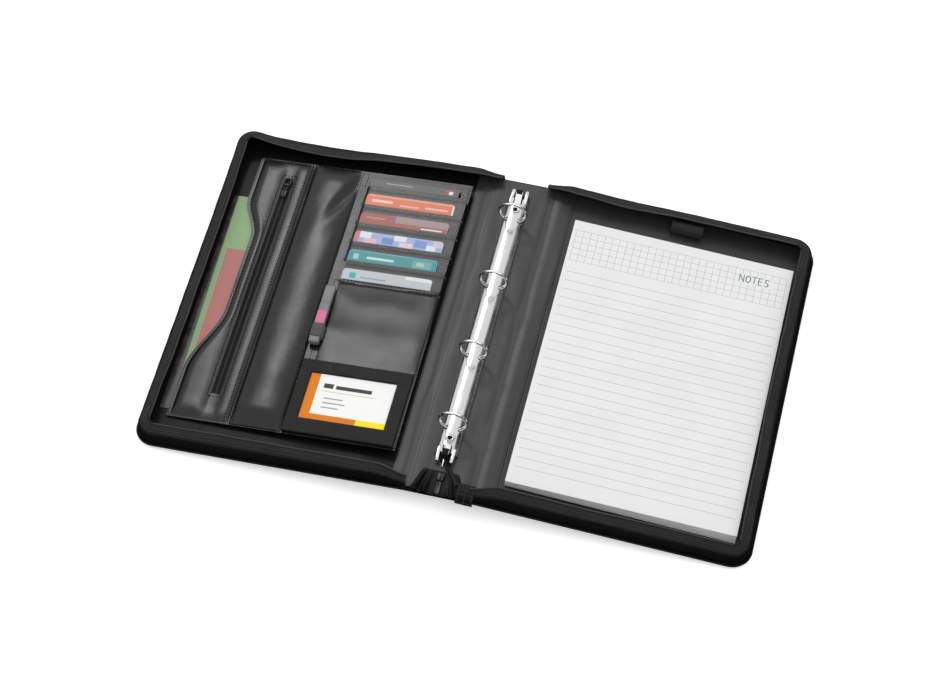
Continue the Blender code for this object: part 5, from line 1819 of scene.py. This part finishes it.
def sliders():
    low, high = extent("pocket_zip_slider", ORGANISER)
    middle = [(a + b) / 2 for a, b in zip(low, high)]
    size = (high[1] - low[1], high[0] - low[0], high[2] - low[2])
    slider_body("side_slider", ORGANISER, middle, size, DARK_METAL, "pocket_slider", "pocket_zip_slider")
    bridge("side_slider_bridge", ORGANISER, (middle[0], middle[1], high[2] - 0.2 * MM), 2.6 * MM, 1.3 * MM,
           DARK_METAL, "pocket_slider")
    low, high = extent("pocket_zip_puller", ORGANISER)
    tab_middle = ((low[0] + high[0]) / 2, (low[1] + high[1]) / 2, (low[2] + high[2]) / 2 + 0.4 * MM)
    hang = oval_ring(ORGANISER, (tab_middle[0], high[1] - 4.2 * MM, tab_middle[2]), 3.3 * MM, 4.2 * MM,
                     0.95 * MM)
    link = oval_ring(ORGANISER, (tab_middle[0], low[1] + 3.6 * MM, (low[2] + high[2]) / 2), 1.9 * MM,
                     2.9 * MM, 0.5 * MM)
    verts, faces = joined([hang, link])
    piece("side_puller_ring", verts, faces, DARK_METAL, "pocket_puller", stands_for=["pocket_zip_puller"],
          slot="zip_metal")

    low, high = extent("main_zip_slider", SPINE)
    middle = [(a + b) / 2 for a, b in zip(low, high)]
    size = (high[1] - low[1], high[0] - low[0], high[2] - low[2])
    slider_body("end_slider", SPINE, middle, size, DARK_METAL, "spine", "main_zip_slider")
    bridge("end_slider_bridge", SPINE, (middle[0], middle[1] - 1.5 * MM, high[2] - 0.3 * MM), 2.6 * MM,
           1.4 * MM,
           DARK_METAL, "spine")
    low, high = extent("main_zip_puller", SPINE)
    mid_u, mid_w = (low[0] + high[0]) / 2, (low[2] + high[2]) / 2
    rows = spaced(low[1], high[1], 1.5 * MM, (0.2 * MM, 0.6 * MM, 1.3 * MM))
    columns = [-1, -0.93, -0.8, -0.5, -0.2, 0.2, 0.5, 0.8, 0.93, 1]

    def spot(v, side):
        share = (v - low[1]) / (high[1] - low[1])
        half = 3.0 * MM * (0.72 + 0.28 * (1 - share)) * (1 - 0.35 * bell(v, low[1], 1.0 * MM))
        rim = 0.3 * MM * bell(abs(side), 0.78, 0.12)
        return mid_u + side * half, v, mid_w + 0.45 * MM + rim - rolled(half * (1 - abs(side)), 0.3 * MM)

    def keep(i, j):
        v = (rows[i] + rows[i + 1]) / 2
        return not (columns[j] >= -0.25 and columns[j + 1] <= 0.25 and high[1] - 4.2 * MM < v < high[1] - 1.4 * MM)

    sheet("end_puller_tab", SPINE, rows, columns, spot, 1.2 * MM, DARK_METAL, "main_puller", keep,
          stands_for=["main_zip_puller"], slot="zip_metal")
    stop = [FRONT.at(7.5 * MM, HALF_LENGTH - 9.2 * MM, 13.8 * MM),
            FRONT.at(3.5 * MM, HALF_LENGTH - 9.2 * MM, 13.2 * MM)]
    path = [stop[0].lerp(stop[1], k / 6) for k in range(7)]
    verts, faces = tube_mesh(path, lambda k: (1.0, 1.4, 1.5, 1.5, 1.5, 1.4, 1.0)[k] * MM, 14)
    bend = ("spine", "front_cover", FRONT.at(-3 * MM, 0, 0), FRONT.at(9 * MM, 0, 0))
    piece("zip_stop_front", verts, faces, DARK_METAL, bend, slot="zip_metal")
    stop = [BACK.at(-7.6 * MM, HALF_LENGTH - 9.0 * MM, 12.6 * MM),
            BACK.at(-3.6 * MM, HALF_LENGTH - 9.0 * MM, 13.2 * MM)]
    path = [stop[0].lerp(stop[1], k / 6) for k in range(7)]
    verts, faces = tube_mesh(path, lambda k: (1.0, 1.4, 1.5, 1.5, 1.5, 1.4, 1.0)[k] * MM, 14)
    bend = ("spine", "back_cover", BACK.at(-3 * MM, 0, 0), BACK.at(9 * MM, 0, 0))
    piece("zip_stop_back", verts, faces, DARK_METAL, bend, slot="zip_metal")


# ---------------------------------------------------------------- the whole case

cover_shells()
gussets()
linings()
hinges()
spine_fan()
end_tab()
organiser_panels()
pocket_zip()
soft_panel()
cards()
card_slots()
id_window()
usb()
brochure()
pad()
heading()
pen_loop()
housing()
end_legs()
ring_wires()
levers()
sliders()


# ---------------------------------------------------------------- floor, light and camera

def backdrop():
    """A wide pale floor."""
    made, tree, shader = blank("pale_floor", (0.93, 0.93, 0.93), 0.8)
    grainy = node(tree, "ShaderNodeTexNoise", {"Vector": object_place(tree), "Scale": 6.0, "Detail": 2.0})
    tint = blend_colours(tree, spread(tree, grainy.outputs[0], 0.3, 0.7, 0, 1), (0.92, 0.92, 0.92),
                         (0.94, 0.94, 0.94))
    tree.links.new(tint, shader.inputs["Base Color"])
    shader.inputs["Emission Color"].default_value = (1, 1, 1, 1)
    shader.inputs["Emission Strength"].default_value = 0.35
    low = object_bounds()[0][2]
    reach = 12.0
    mesh = bpy.data.meshes.new("floor")
    corners = [(-reach, -reach, low), (reach, -reach, low), (reach, reach, low), (-reach, reach, low)]
    mesh.from_pydata(corners, [], [(0, 1, 2, 3)])
    mesh.materials.append(made)
    floor = bpy.data.objects.new("floor", mesh)
    bpy.context.collection.objects.link(floor)
    floor.visible_glossy = False


def flag(name, place, target, width, height):
    """A black card that only the shiny parts see."""
    made = plastic(name + "_cloth", (0.01, 0.01, 0.01), 0.9)
    mesh = bpy.data.meshes.new(name)
    w, h = width / 2, height / 2
    mesh.from_pydata([(-w, -h, 0), (w, -h, 0), (w, h, 0), (-w, h, 0)], [], [(0, 1, 2, 3)])
    mesh.materials.append(made)
    card = bpy.data.objects.new(name, mesh)
    bpy.context.collection.objects.link(card)
    card.location = place
    card.rotation_euler = (Vector(target) - Vector(place)).to_track_quat("-Z", "Y").to_euler()
    card.visible_camera = False
    card.visible_diffuse = False
    card.visible_shadow = False


def area_light(name, place, target, size, power):
    light = bpy.data.lights.new(name, "AREA")
    light.shape = "RECTANGLE"
    light.size, light.size_y = size
    light.energy = power
    made = bpy.data.objects.new(name, light)
    bpy.context.collection.objects.link(made)
    made.location = place
    made.rotation_euler = (Vector(target) - Vector(place)).to_track_quat("-Z", "Y").to_euler()
    made.visible_diffuse = False


def studio():
    scene = bpy.context.scene
    world = bpy.data.worlds.new("studio")
    scene.world = world
    world.use_nodes = True
    background = world.node_tree.nodes["Background"]
    height = node(world.node_tree, "ShaderNodeSeparateXYZ", {0: object_place(world.node_tree)}).outputs[2]
    shade = blend_colours(world.node_tree, spread(world.node_tree, height, -0.02, 0.02, 0, 1),
                          (0.02, 0.02, 0.02), (1, 1, 1))
    world.node_tree.links.new(shade, background.inputs["Color"])
    background.inputs["Strength"].default_value = 1.1
    scene.view_settings.view_transform = "Standard"
    scene.view_settings.look = "None"
    area_light("softbox", (-0.95, 1.45, 1.98), (-0.12, 0, 0), (0.45, 0.5), 12)
    flag("flag_right", (1.9, 0.3, 0.7), (0, 0, 0), 2.6, 1.6)
    flag("flag_left", (-2.0, -0.4, 0.6), (0, 0, 0), 2.6, 1.2)
    flag("flag_front", (0.2, -2.2, 0.5), (0, 0, 0), 4.0, 1.4)

    lens = bpy.data.cameras.new("camera")
    lens.lens = 109.25
    lens.sensor_width = 36
    lens.clip_start = 0.05
    camera = bpy.data.objects.new("camera", lens)
    bpy.context.collection.objects.link(camera)
    right = (0.97318, 0.22960, 0.01445)
    up = (-0.19755, 0.80184, 0.56394)
    back = (0.11789, -0.55167, 0.82569)
    turn = Matrix((right, up, back)).transposed().to_4x4()
    camera.matrix_world = Matrix.Translation((0.30866, -1.47549, 2.19682)) @ turn
    scene.camera = camera


backdrop()
studio()
